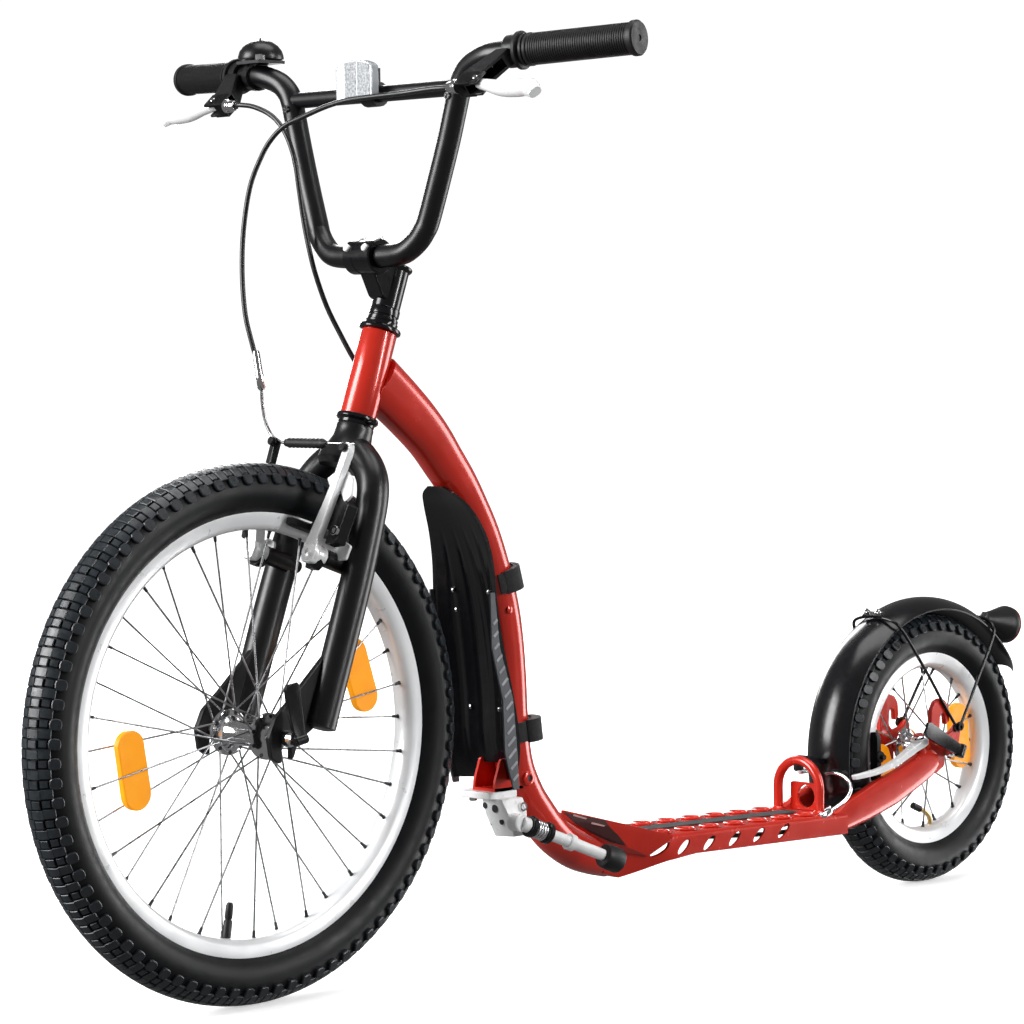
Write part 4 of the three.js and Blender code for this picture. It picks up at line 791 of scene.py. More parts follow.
# Axles and quick releases
def dress_axle(wheel, body):
    """The shaft with the quick release's cam at the left and its nut at the right."""
    face = wheel["half"] + 6.3

    def at_x(x):
        return centre_of(wheel) + X * x

    shaft = rod(at_x(-face), at_x(face), 5, 24)
    cam = lathe([(0, 0), (7.2, 0), (8, 1), (8, 9), (7, 11), (7, 14), (0, 14)], at_x(face),
                at_x(face + 14), 32)
    nut = lathe([(0, 0), (9, 0), (9, 2.5), (7.4, 3.2), (0, 3.2)], at_x(-face), at_x(-face - 10), 32)
    cap = rod(at_x(-face - 3), at_x(-face - 10), 7.6, 6, 1.0)
    dress(wheel["name"] + "_axle", joined(shaft, cam, nut, cap), CHROME, body)


dress_axle(FRONT, "steering")
dress_axle(REAR, "frame")
BARREL_OUT = 25.6  # from a dropout's inner face out to the middle of the lever's barrel


def quick_lever(wheel, length, turn):
    """A curved flat lever on its barrel; drawn upwards, then turned about the barrel."""
    name = wheel["name"] + "_quick_release"
    hinge = centre_of(wheel) + X * (wheel["half"] + BARREL_OUT)
    rows = []
    for i in range(13):
        t = i / 12
        width = 5.5 + 3.2 * math.sin(min(1, t * 1.15) * math.pi / 2) - (2.6 if i == 12 else 0)
        bend = -2.4 * math.sin(t * math.pi) * 0.6 - 0.3
        thick = 2.4 - 0.6 * t
        z = length * t
        rows.append([(bend + thick, -width, z), (bend + thick + 0.9, 0, z),
                     (bend + thick, width, z), (bend - thick, width, z),
                     (bend - thick + 1.0, 0, z), (bend - thick, -width, z)])
    blade = skin([[Vector(p) for p in row] for row in rows], closed=True)
    barrel = rod((0, -7.5, 0), (0, 7.5, 0), 4.9, 24, 0.8)
    rotation = Matrix.Rotation(turn, 3, "X")
    shape = moved(joined(blade, barrel), lambda p: hinge + rotation @ Vector(p))
    dress(f"{name}_lever", shape, SHINY_PLASTIC, name, bevel=0.6)


quick_lever(FRONT, 54, math.radians(10))
quick_lever(REAR, 69, math.radians(63))


# Head tube and headset
def on_axis(s):
    return steered((0, 0, s))


HEAD_FOOT, HEAD_TOP = 584.6, 669.9
dress("head_tube", lathe([(14.5, 0), (17.2, 0), (17.5, 0.6), (17.5, 84.7), (17.2, 85.3),
                          (14.5, 85.3), (14.5, 0)], on_axis(HEAD_FOOT), on_axis(HEAD_TOP), 72), RED,
      "frame")
dress("headset_lower_cup", lathe([(13, 0), (17.4, 0), (17.8, 1), (17.8, 3), (19.4, 4.2),
                                  (20.6, 5.6), (20.6, 7.4), (19.8, 9), (13, 9), (13, 0)],
                                 on_axis(HEAD_FOOT - 9.3), on_axis(HEAD_FOOT - 0.3), 64), GLOSS,
      "frame")
piece("headset_lower_bolt", rod(steered((18, 0, 579.5)), steered((25.5, 0, 579.5)), 3.4, 16, 0.9),
      GLOSS, "frame")
dress("headset_upper_cup", lathe([(13, 0), (18, 0), (20.3, 1.4), (20.5, 3.4), (19.6, 5),
                                  (16.4, 5.6), (15.6, 7.2), (15.8, 10), (13, 10), (13, 0)],
                                 on_axis(HEAD_TOP + 0.3), on_axis(HEAD_TOP + 10.3), 64), GLOSS,
      "frame")
dress("headset_locknut", lathe([(13, 0), (14.6, 0), (15, 0.6), (15, 4.2), (13.8, 5), (13.8, 6),
                                (14.8, 6.6), (14.8, 13.4), (14.2, 14.5), (13, 14.5), (13, 0)],
                               on_axis(HEAD_TOP + 10.6), on_axis(HEAD_TOP + 25.1), 12), GLOSS,
      "steering", bevel=0.3)

# Fork
BLADE_X, BLADE_FOOT, BLADE_R = 57.2, 279.3, 15.5
BLADE = [
    (BLADE_X, 0, BLADE_FOOT), (57.2, 0, 330), (57.2, 0, 380), (56.8, 0, 415), (55.6, 0, 445),
    (53.6, 0, 475), (51, 0, 500), (45.5, 0, 518), (36, 0, 531), (24, 0, 541), (12, 0, 547.5),
    (0, 0, 549.5),
]
BLADE_CAP = [(0, -2.2), (9, -1.9), (13.4, -0.6), (15.2, 1.5), (15.5, 4), (15.5, 9), (0, 9)]
STUD_X, STUD_S = 43, 434  # where the front brake turns, along the steering axis
blade_path = spline([steered(p) for p in BLADE], 6)
whole = blade_path[:-1] + [Vector((-p.x, p.y, p.z)) for p in blade_path[::-1]]
blade_radii = [
    (BLADE_R - 0.2, BLADE_R) if abs(p.x) > 20 else (BLADE_R, BLADE_R + 0.2) for p in whole]
blades = tube(whole, blade_radii, 40, across=(0, -math.cos(TILT), math.sin(TILT)))
neck = lathe([(0, 0), (25, 0), (28.5, 6), (27, 13), (22.5, 22), (19, 30), (18, 38), (18.2, 41.5),
              (17.4, 43.5), (0, 43.5)], on_axis(531.5), on_axis(575), 48)
steerer = rod(on_axis(555), on_axis(694), 12.6, 40)
end_caps = [lathe(BLADE_CAP, steered((x, 0, BLADE_FOOT)), steered((x, 0, 290)), 40)
            for x in (BLADE_X, -BLADE_X)]
studs = [rod(steered((x, n, STUD_S)), steered((x, tip, STUD_S)), radius, 24, chamfer)
         for n, tip, radius, chamfer in ((10, -52, 6, 0.6), (-4, -35, 8.6, 1))
         for x in (-STUD_X, STUD_X)]
dress("fork", joined(blades, neck, steerer, *end_caps, *studs), SATIN, "steering")


DROPOUT = [
    (50, 330), (8, 292), (-12, 276), (-21, 258), (-18, 238), (-10, 232.5),
    (-5.4, 233), (-5.3, 255), (-3.8, 259), (0, 260.6), (3.8, 259), (5.3, 255), (5.4, 234.5),
    (9, 236.5), (14, 250), (34, 262), (56, 300),
]
fork_ends = both(plate(rounded(DROPOUT, 2.2, 2), 50, 56))
piece("fork_dropouts", fork_ends, SATIN, "steering", bevel=0.9)

# Stem
piece("stem_column", lathe([(0, 0), (14, 0), (14, 38), (15.6, 39.6), (16.5, 41), (16.5, 42.6),
                            (15.6, 43.6), (0, 43.6)], on_axis(694.7), on_axis(738), 48), GLOSS,
      "steering", "stem")
WEDGE = [(-14.6, 700), (-34, 719), (-46, 730), (-44, 744), (-26, 746.5), (0, 738.6), (6, 724),
         (2, 702)]
piece("stem_wedge", plate(rounded(WEDGE, 5), -10.5, 10.5, (N_AXIS, S_AXIS, X), ORIGIN), GLOSS,
      "steering", bevel=1.8, segments=3)
BAR_MIDDLE = steered((0, -37.5, 734.4))
clamp = lathe([(11.5, -19), (15.6, -19), (17, -17.8), (17, -6), (16.4, -5.4), (16.4, 5.4), (17, 6),
               (17, 17.8), (15.6, 19), (11.5, 19), (11.5, -19)], BAR_MIDDLE,
              BAR_MIDDLE + X, 56)
piece("stem_clamp", clamp, GLOSS, "steering")
TOP_BOLT = [(0, 0), (4.6, 0), (4.8, 1), (4.8, 3.6), (3.8, 4.8), (0, 5)]
FRONT_BOLT = [(0, 0), (3.8, 0), (3.8, 2.6), (2.8, 3.6), (0, 3.8)]
bolts = []
for profile, n, s, way in ((TOP_BOLT, -39, 749.1, steered((0, -0.15, 1)) - ORIGIN),
                           (FRONT_BOLT, -53.5, 737, steered((0, -1, 0.12)) - ORIGIN)):
    for x in (-13, 13):
        foot = steered((x, n, s))
        bolts.append(lathe(profile, foot, foot + way, 28))
piece("stem_bolts", joined(*bolts), SILVER, "steering", slot="steel")

# Handlebar
BAR = [
    (0, 160, 703), (30, 160.5, 703.3), (52, 161, 706), (67, 163.5, 715.5), (76, 165, 726),
    (80.9, 166.4, 736), (94, 168, 772), (106.8, 169.7, 809.8), (115, 170.6, 837),
    (121.6, 171.2, 858), (128, 170.8, 869), (140, 169.3, 878.5), (162.6, 167.6, 885.6),
    (182, 169.4, 887.3), (202.4, 172, 888),
]
GRIP_START, GRIP_TIP = Vector((202.3, 172, 888.1)), Vector((325.7, 203.5, 893))
grip_way = (GRIP_TIP - GRIP_START).normalized()
bar_half = spline(BAR, 5) + [GRIP_START + grip_way * 40, GRIP_TIP - grip_way * 6]
bar_path = [Vector((-p.x, p.y, p.z)) for p in bar_half[:0:-1]] + bar_half
dress("handlebar", joined(tube(bar_path, 11.1, 32), rod((-122, 171, 859), (122, 171, 859), 8, 32)),
      SATIN, "steering")


def grip_shape():
    length = (GRIP_TIP - GRIP_START).length
    profile = [(11.4, 0), (17.2, 0), (18, 0.8), (18, 3.4), (17.2, 4.2), (15.4, 4.4)]
    for i in range(2):
        base = 5 + i * 4.4
        profile += [(14.2, base), (14.2, base + 1.4), (15.6, base + 1.9), (15.6, base + 4)]
    start, stop, count = 14.5, length - 7, 44
    for i in range(count):
        step = (stop - start) / count
        at_rib = start + i * step
        profile += [(14.3, at_rib), (14.3, at_rib + step * 0.35), (15, at_rib + step * 0.5),
                    (15, at_rib + step * 0.9)]
    profile += [(14.6, stop), (16.2, stop + 0.6), (16.5, stop + 1.4), (16.5, length - 1.6),
                (15.2, length), (3, length), (2.6, length - 1), (0, length - 1), (0, length - 8),
                (11.4, length - 8), (11.4, 0)]
    return lathe(profile, GRIP_START, GRIP_TIP, 40)


dress("left_grip", grip_shape(), RUBBER, "steering")
dress("right_grip", mirrored(grip_shape()), RUBBER, "steering")

crossbar_bolts = joined(*(hexagon((x, 160.4, 851), (0, -1, 0), 3.6, 3, 2) for x in (-117, 117)))
piece("handlebar_bolts", crossbar_bolts, CHROME, "steering")

# Main tube: [y, z, half depth of the section]
TUBE_R = 19.5
MAIN = [
    (168, 584, 26.5), (192, 565, 25.8), (215.5, 545, 24.8), (236.5, 524.5, 23.2), (254, 503, 22),
    (271.5, 481, 21), (288.5, 455.5, TUBE_R), (303.5, 427.5, TUBE_R), (316.5, 394.5, TUBE_R),
    (327.5, 358, TUBE_R), (334, 322, TUBE_R), (337.5, 280, TUBE_R), (339, 242, TUBE_R),
    (344.5, 197, TUBE_R), (358.5, 165, TUBE_R), (375, 142.5, TUBE_R), (396.5, 118.5, TUBE_R),
    (423.5, 100, TUBE_R), (447.5, 90.5, TUBE_R), (474, 84, TUBE_R),
]
main_path = spline([(0, y, z) for y, z, _ in MAIN], 4)
TUBE_SIDES = 48


def main_tube_shape():
    """Deep and a little flat-sided under the head tube, round further down."""
    depths = stepped([depth for _, _, depth in MAIN], 4)
    rows = []
    for i, (point, way, depth) in enumerate(zip(main_path, ways(main_path), depths)):
        power = 1 - 0.22 * max(0.0, 1 - i / 24)
        rows.append(oval(point, (X, TUBE_R, power), (way.cross(X), depth, power), TUBE_SIDES))
    return skin(rows, closed=True)


main = main_tube_shape()
main_tube = dress("main_tube", main, RED, "frame")
carve(main_tube, rod(on_axis(HEAD_FOOT - 14), on_axis(HEAD_TOP + 30), 17.6, 72))
carve(main_tube, rod(on_axis(HEAD_FOOT - 14), on_axis(HEAD_FOOT), 18.9, 72))
reshaded(main_tube, 38)

# Deck: a channel with flared holes, a boxed front end and a wing up each side of the tube
DECK_FRONT_Y, DECK_REAR_Y = 520, 800
DECK_FRONT_TOP, DECK_REAR_TOP = 107.8, 100.3
SLOPE = (DECK_FRONT_TOP - DECK_REAR_TOP) / (DECK_REAR_Y - DECK_FRONT_Y)
DECK_HALF = 49
HOLES = [(x, 525 + 37.5 * i) for i in range(7) for x in (-31, 31)]
SIDE_HOLES = [512, 541, 580, 619, 657, 696]
SIDE_HOLE_Z, SIDE_HOLE_SLANT = 92.5, math.pi / 5
COLLAR = [(7.2, -1.2), (9.4, 1.2), (11.9, 2.8), (12, 3.7), (10.8, 4.5), (9.4, 4.6), (8.2, 3.9),
          (7.4, 2.2), (7.2, 0), (7.2, -1.2)]


def deck_top(y):
    return DECK_FRONT_TOP - SLOPE * (y - DECK_FRONT_Y)


def ring_of(y, half, low, high):
    """A rounded rectangle across the deck at one place along it, sharper below."""
    corner = min(5.0, (high - low) * 0.3)
    row = []
    for cx, cz, start in ((half - corner, high - corner, 0), (-half + corner, high - corner, 90),
                          (-half + corner * 0.3, low + corner * 0.3, 180),
                          (half - corner * 0.3, low + corner * 0.3, 270)):
        r = corner if start < 180 else corner * 0.3
        for k in range(5):
            a = math.radians(start + 90 * k / 4)
            row.append(Vector((cx + r * math.cos(a), y, cz + r * math.sin(a))))
    return row


# Rings of the deck: [y, half width, bottom, top]
OUTER = [(458, 14, 71, 100), (474.5, 20.1, 65.2, 103.5), (487, 27.5, 69, 105.3),
         (500, 35, 73.2, 106.7), (510, 41.5, 77, 107.4), (520, 46.8, 80, 107.8)]
OUTER += [(y, DECK_HALF, low, deck_top(y))
          for y, low in ((528, 81), (540, 82), (560, 83.5), (680, 80.5), (800, 77.5))]
INNER = [(487, 19, 73, 100), (519, 43, 83, 104.8), (529, 46.6, 30, 104.9), (806, 46.6, 30, 97.3)]
deck_outer, deck_inner = (
    skin([ring_of(*ring) for ring in rings], closed=True) for rings in (OUTER, INNER))
deck = dress("deck_channel", deck_outer, RED, "frame")
carve(deck, deck_inner)
hole_tools = [rod((x, y, 60), (x, y, 130), 7.6, 28) for x, y in HOLES]
slant_cos, slant_sin = math.cos(SIDE_HOLE_SLANT), math.sin(SIDE_HOLE_SLANT)
for y in SIDE_HOLES:
    outline = []
    for k in range(24):
        u, v = 11 * math.cos(TAU * k / 24), 4.2 * math.sin(TAU * k / 24)
        outline.append((y + u * slant_cos - v * slant_sin,
                        SIDE_HOLE_Z + u * slant_sin + v * slant_cos))
    hole_tools.append(plate(outline, -60, 60))
carve(deck, joined(*hole_tools))
reshaded(deck)

collars = [lathe(COLLAR, (x, y, deck_top(y) - 2), (x, y + SLOPE, deck_top(y) + 1), 36)
           for x, y in HOLES]
piece("deck_hole_collars", joined(*collars), RED, "frame")
strip_outline = rounded([(-12, 525), (12, 525), (12, 764), (-12, 764)], 2.5, 3)
strip_points = [Vector((x, y, deck_top(y) + h)) for h in (0.25, 1.5) for x, y in strip_outline]
strip = strip_points, prism_faces(len(strip_outline))
dress("deck_grip_strip", strip, STRIP, "frame")

# Wings: a wedge from each side of the deck up to the tube, with painted shade over the hollow by
# the tube and painted light for its slots
WING = [
    (12.7, 398, 144), (14.7, 430, 127), (50.4, 524, 107.8), (50.4, 524, 103), (22, 470, 106),
    (19.6, 470, 92), (12.7, 398, 135), (38.5, 499, 86.5), (37, 497, 88),
]
WING_SHADE_OUTLINE = [(401, 140.5), (447, 128.6), (452, 121), (463, 111), (473, 99.5), (457, 104.5),
               (437, 114.5), (415, 127)]
WING_SLOT_LIGHTS = [[(411, 136), (425, 131.2), (426.6, 132.2), (412, 137.6)],
              [(431, 126), (445, 122), (446.6, 123.2), (432, 127.8)]]


def inlay(name, proud, look, *outlines):
    """A thin layer over the wings, only within the outlines seen from the side."""
    layer = moved(hull(WING), lambda p: p + X * proud)
    obj = piece(name, both(layer), look, "frame")
    carve(obj, joined(*(plate(outline, -70, 70) for outline in outlines)), operation="INTERSECT")
    reshaded(obj)


piece("deck_wings", both(hull(WING)), RED, "frame", bevel=1.0)
inlay("deck_wing_painted_shade", 0.5, PAINTED_SHADE_RED, WING_SHADE_OUTLINE)
inlay("deck_wing_painted_slot_light", 0.9, PAINTED_SLOT_LIGHT, *WING_SLOT_LIGHTS)

# Stays with dropouts: [y, z, half depth of the section]
STAY_X, STAY_HALF, STAY_SQUARENESS = 38, 8, 0.62
STAY = [(788, 90, 12), (802.5, 93.5, 14), (814, 97, 15.5), (840, 104, 17.2), (864, 111.5, 18.5),
        (885, 117, 18), (903, 123, 17), (925, 131.5, 16.8), (942, 138.5, 16.5), (952, 142, 14.5),
        (958, 143.5, 10)]
HOOK = [
    (950, 128), (953, 168), (955, 198), (961, 208), (970, 211), (979, 208), (985, 200),
    (986, 184), (979, 180), (978, 192), (974, 195), (970, 192), (969, 176), (976, 169), (990, 172),
    (1000, 180), (1006, 174), (1003, 160), (994, 146), (987.6, 140), (987.6, 152.3), (986, 156),
    (982.3, 157.6), (978.6, 156), (977, 152.3), (977, 134.4), (972, 132), (962, 127),
]


def stay_shape():
    path = spline([(STAY_X, y, z) for y, z, _ in STAY], 4)
    depths = stepped([depth for _, _, depth in STAY], 4)
    return skin([
        oval(point, (X, STAY_HALF, STAY_SQUARENESS), (way.cross(X), depth, STAY_SQUARENESS), 32)
        for point, way, depth in zip(path, ways(path), depths)
    ], closed=True)


stay_tube = stay_shape()
hook_plate = plate(rounded(HOOK, 2.0, 2), 34, 40)
for side, make in SIDES:
    dress(f"{side}_stay", make(stay_tube), RED, "frame")
for side, make in SIDES:
    piece(f"{side}_stay_hook", make(hook_plate), RED, "frame", bevel=0.9)
pivot = Vector((STAY_X, 935, 165))
arm_way = (Vector((41, 822.5, 137)) - Vector((41, 935, 165))).normalized()
pin_way = -X.cross(arm_way)
rear_stud = rod(pivot - pin_way * 16, pivot + pin_way * 9, 6, 24, 0.6)
piece("rear_brake_studs", both(rear_stud), RED, "frame")

# Heel plate and hoop
HEEL_Y, HEEL_HALF, HEEL_TOP = 787, 22, 131
HEEL_HOLE_Z, HEEL_HOLE_R = 116, 12.5
HOOP_Y, HOOP_HALF, HOOP_RISE, HOOP_R = 775.5, 30, 55.5, 5.2
low = deck_top(HEEL_Y) + 0.3
heel = plate(rounded([(-HEEL_HALF, low), (HEEL_HALF, low), (HEEL_HALF, HEEL_TOP),
                      (-HEEL_HALF, HEEL_TOP)], 3), HEEL_Y, HEEL_Y + 3, FACING_BACK)
heel_plate = dress("heel_plate", heel, RED, "frame")
carve(heel_plate, rod((0, 780, HEEL_HOLE_Z), (0, 800, HEEL_HOLE_Z), HEEL_HOLE_R, 40))
reshaded(heel_plate)
hoop_foot = deck_top(HOOP_Y) + 0.3
springing = hoop_foot + HOOP_RISE - HOOP_HALF
arch = [(HOOP_HALF * math.cos(a), springing + HOOP_HALF * math.sin(a))
        for a in (math.pi * k / 24 for k in range(25))]
hoop_path = [(x, HOOP_Y, z) for x, z in (
    (HOOP_HALF, hoop_foot), (HOOP_HALF, hoop_foot + 12), *arch,
    (-HOOP_HALF, hoop_foot + 12), (-HOOP_HALF, hoop_foot))]
dress("heel_hoop", tube(hoop_path, HOOP_R, 24), RED, "frame")
feet = [lathe([(5, 0), (8, 0), (7.2, 1.4), (5.2, 3), (5, 0)], (x, HOOP_Y, hoop_foot),
              (x, HOOP_Y, hoop_foot + 1), 24) for x in (-HOOP_HALF, HOOP_HALF)]
piece("heel_hoop_welds", joined(*feet), RED, "frame")
nut_top = springing + HOOP_HALF - 4.8
piece("heel_hoop_nut", rod((0, HOOP_Y, nut_top), (0, HOOP_Y, nut_top - 6), 5.5, 6, 0.5), DARK_STEEL_AND_SHADE,
      "frame")

# Rear mudguard, its bracket, wires and the light
GUARD_R, GUARD_HALF, CROWN = 170, 30, 12
GUARD_FROM, GUARD_TO, GUARD_STEPS = 197, 29, 72  # angles upwards from the rear


def round_rear(x, radius, degrees):
    a = math.radians(degrees)
    return Vector((x, REAR["y"] + radius * math.cos(a), REAR["r"] + radius * math.sin(a)))


def mudguard():
    def rows(wall):
        made = []
        for i in range(GUARD_STEPS + 1):
            degrees = GUARD_FROM + (GUARD_TO - GUARD_FROM) * i / GUARD_STEPS
            end = min(i, GUARD_STEPS - i)
            width = GUARD_HALF * (1 - 0.16 * max(0, 1 - end / 3) ** 2)
            made.append([
                round_rear(u * width, GUARD_R - CROWN * abs(u) ** 2.2 - wall, degrees)
                for u in (-1 + 2 * k / 24 for k in range(25))
            ])
        return made
    return skin(rows(0), rows(2))


dress("rear_mudguard", mudguard(), SHINY_PLASTIC, "frame", bevel=0.5)
BRACKET = [(781.2, 155), (781.2, 162), (811.8, 155), (811.8, 149)]
dress("mudguard_bracket", plate(rounded(BRACKET, 2, 3), -7, 7), GLOSS, "frame",
      slot="black_plastic", bevel=0.8)
SPREAD = 42.1
FRONT_WIRE = [(1, 996, 176), (1, 972, 206), (1, 950, 235), (0.93, 931, 262), (0.86, 915, 285),
              (0.74, 906.5, 298), (0.43, 903.5, 303.5), (0, 902, 305.5)]
REAR_WIRE = [(1, 1002, 177), (0.98, 1019, 202), (0.95, 1035, 225), (0.86, 1068, 270),
             (0.74, 1075.5, 285), (0.43, 1079, 291.5), (0, 1081.8, 294)]
for name, wire in (("front", FRONT_WIRE), ("rear", REAR_WIRE)):
    half = spline([(x * SPREAD, y, z) for x, y, z in wire], 5)
    path = half + [Vector((-p.x, p.y, p.z)) for p in half[-2::-1]]
    dress(f"mudguard_{name}_wire", tube(path, 1.75, 14), GLOSS, "frame")
CLAMP_ANGLE = 117
clamp_out = (round_rear(0, 2, CLAMP_ANGLE) - round_rear(0, 1, CLAMP_ANGLE)).normalized()
clamp_axes = (X, X.cross(clamp_out), clamp_out)
clamp_bar = block(round_rear(0, GUARD_R + 4.4, CLAMP_ANGLE), 26, 9, 3, clamp_axes)
piece("mudguard_wire_clamp", clamp_bar, GLOSS, "frame", bevel=0.8)
clamp_nuts = []
for x in (-8, 8):
    foot = round_rear(x, GUARD_R + 5.8, CLAMP_ANGLE)
    clamp_nuts.append(lathe([(0, 0), (3.6, 0), (3.6, 2.6), (2.2, 3), (2.2, 5), (0, 5.2)], foot,
                            foot + clamp_out, 20))
piece("mudguard_clamp_nuts", joined(*clamp_nuts), CHROME, "frame")
EYELET = [(2, -1.6), (5, -1.6), (5, 1.6), (2, 1.6), (2, -1.6)]
eyelets = []
for side in (1, -1):
    for y, z in (FRONT_WIRE[0][1:], REAR_WIRE[0][1:]):
        eyelets.append(lathe(EYELET, (side * SPREAD, y, z), (side * (SPREAD + 1), y, z), 24))
    eyelets.append(hexagon((side * (SPREAD + 0.5), 999, 176.5), X * side, 4.4, 3.6, 2.2))
piece("mudguard_wire_eyelets", joined(*eyelets), GLOSS, "frame")

LIGHT_BACK, LIGHT_FACE = Vector((0, 1097, 289.5)), Vector((0, 1137.5, 280.1))
light_way = (LIGHT_FACE - LIGHT_BACK).normalized()
light_length = (LIGHT_FACE - LIGHT_BACK).length
light = lathe([(0, 0), (5.5, 0), (8, 1.4), (9.5, 6), (13, 16), (17.5, 27), (20.4, 34), (21.5, 37),
               (21.5, light_length - 0.4), (20.8, light_length), (0, light_length)],
              LIGHT_BACK, LIGHT_FACE, 56)
light_foot = rod(round_rear(0, GUARD_R + 0.4, 50), round_rear(0, GUARD_R + 16, 50), 5, 24)
dress("tail_light_body", joined(light, light_foot), PLASTIC, "frame")
lens_back = LIGHT_FACE + light_way * 0.3
dress("tail_light_lens", lathe([(0, 0), (20.6, 0), (21, 0.6), (21, 3), (19.4, 4.6), (14, 5.8),
                                (7, 6.2), (0, 6.3)], lens_back, lens_back + light_way, 56),
      RED_LENS, "frame")

# Front guard: [y of the back, z, half width share, dip forward, depth of the flank]
GUARD = [
    (245.5, 478, 0.2, 1, 2), (251.5, 470, 0.5, 2, 2), (263.5, 455, 0.74, 3, 2),
    (277, 430, 0.9, 4.5, 2), (288.5, 400, 0.97, 9.5, 2), (299.8, 363, 1, 18.8, 3),
    (308, 320, 1, 23.5, 7), (313.5, 266, 1, 22.5, 14), (316, 220, 1, 22, 18),
    (327.5, 182, 1, 24, 4),
]
FRONT_GUARD_HALF = 42
GROOVES = (-0.62, -0.2, 0.2, 0.62)  # places across the guard, as shares of its half width


def guard_shape():
    stations = spline([(y, z, w * FRONT_GUARD_HALF) for y, z, w, _, _ in GUARD], 6)
    extra = spline([(d, f, 0) for _, _, _, d, f in GUARD], 6)

    def rows(wall):
        made = []
        for i, ((y, z, edge), (dip, flank, _)) in enumerate(zip(stations, extra)):
            face = []
            deep = min(1, max(0, (i - 16) / 6)) * min(1, max(0, (len(stations) - 4 - i) / 4))
            for k in range(49):
                u = -1 + 2 * k / 48
                out = math.copysign(wall, u) if abs(u) == 1 else 0
                groove = sum(max(0, 1 - abs(u - g) / 0.07) for g in GROOVES) * 1.3 * deep
                face.append(Vector((u * edge + out, y - dip * abs(u) ** 1.7 - wall + groove, z)))
            left = Vector((-edge - wall, y - dip + flank, z))
            made.append([left, *face, left + X * (2 * (edge + wall))])
        return made

    return skin(rows(2), rows(0))


guard = dress("front_guard", guard_shape(), SHINY_PLASTIC, "frame")
# Room for the tube, and for the kickstand's bracket
tube_clear = skin([
    [p + (p - main_path[i]).normalized() * 0.6
     for p in main[0][i * TUBE_SIDES : (i + 1) * TUBE_SIDES]] for i in range(16, 58)], closed=True)
carve(guard, tube_clear, block((0, 320, 150), 33, 80, 96))
reshaded(guard)

RIVETS = [(-24, 287, 372), (-26, 293, 352), (-20, 305, 254), (25, 289, 372), (22, 305, 254)]
rivets = [lathe([(0, -1), (2.3, -1), (2.3, 0.4), (1.4, 1.1), (0, 1.3)], (x, y, z),
                (x, y - 1, z), 16) for x, y, z in RIVETS]
piece("front_guard_rivets", joined(*rivets), CHROME, "frame")

# Side walls of the guard: [z, front edge, back edge]
FLANK = [(373, 274, 280), (319, 275, 286), (266, 289, 303), (213, 291, 308), (176, 302, 310)]


def flank_edges(z):
    """Front and back edge of the guard's side wall at a height."""
    for (z0, a0, b0), (z1, a1, b1) in zip(FLANK, FLANK[1:]):
        if z >= z1:
            t = (z0 - z) / (z0 - z1)
            return a0 + (a1 - a0) * t, b0 + (b1 - b0) * t
    return FLANK[-1][1], FLANK[-1][2]


flank_outline = [(a, z) for z, a, _ in FLANK] + [(b, z) for z, _, b in FLANK[::-1]]
piece("front_guard_flanks", both(plate(flank_outline, 42.6, 44.6)), LOUVRE, "frame", bevel=0.5)
LOUVRE_TURN = 0.7
louvre_axes = (X, Vector((0, math.cos(LOUVRE_TURN), math.sin(LOUVRE_TURN))),
               Vector((0, -math.sin(LOUVRE_TURN), math.cos(LOUVRE_TURN))))
louvres = []
for i in range(14):
    z = 188 + 12 * i
    front, back = flank_edges(z)
    louvres.append(block((44.6, (front + back) / 2 + 1, z), 1.2, (back - front) * 0.8, 3,
                         louvre_axes))
piece("front_guard_louvres", both(joined(*louvres)), RIB, "frame", bevel=0.4)
boss_foot = Vector((TUBE_R - 1.5, 347, 181))
piece("main_tube_boss", lathe([(3.2, 0), (7.6, 0), (7.2, 2.4), (5.4, 3.4), (3.2, 3.4), (3.2, 0)],
                              boss_foot, boss_foot + X, 28), RED, "frame")
# A dark plug in the boss's hole: painted shade for the shadow inside the hole
piece("main_tube_boss_painted_hole_shade", rod(boss_foot, boss_foot + X * 2.2, 3.2, 20), DARK_STEEL_AND_SHADE, "frame")
rivet_foot = Vector((TUBE_R - 0.6, 324, 352))
piece("main_tube_rivet", lathe([(0, 0), (4, 0), (3.8, 1), (2.4, 1.7), (0, 1.9)], rivet_foot,
                               rivet_foot + X, 24), RED, "frame")


# Straps round the tube
def strap(node, low_point, high_point, fold):
    """A band round the back of the tube, with the folded end of the strap standing out behind."""
    (y0, z0), (y1, z1) = low_point, high_point
    start, end = Vector((0, y0, z0)), Vector((0, y1, z1))
    way = (end - start).normalized()
    rise = X.cross(way)
    if rise.y < 0:
        rise = -rise
    length = (end - start).length
    turns = [math.radians(-28 + 236 * k / 40) for k in range(41)]

    def rows(radius, bulge):
        made = []
        for i in range(5):
            centre = start + way * (length * i / 4)
            r = radius + (bulge if 0 < i < 4 else 0.0)
            made.append([centre + X * (math.cos(a) * r) + rise * (math.sin(a) * r) for a in turns])
        return made

    dress(node, skin(rows(TUBE_R + 2.3, 0.5), rows(TUBE_R + 0.4, 0)), WEBBING, "frame")
    end_fold = plate(rounded(fold, 3, 3), -1.5, length + 1.5, (X, rise, way), start)
    piece(f"{node}_dress_fold", end_fold, WEBBING, "frame", bevel=1.2)


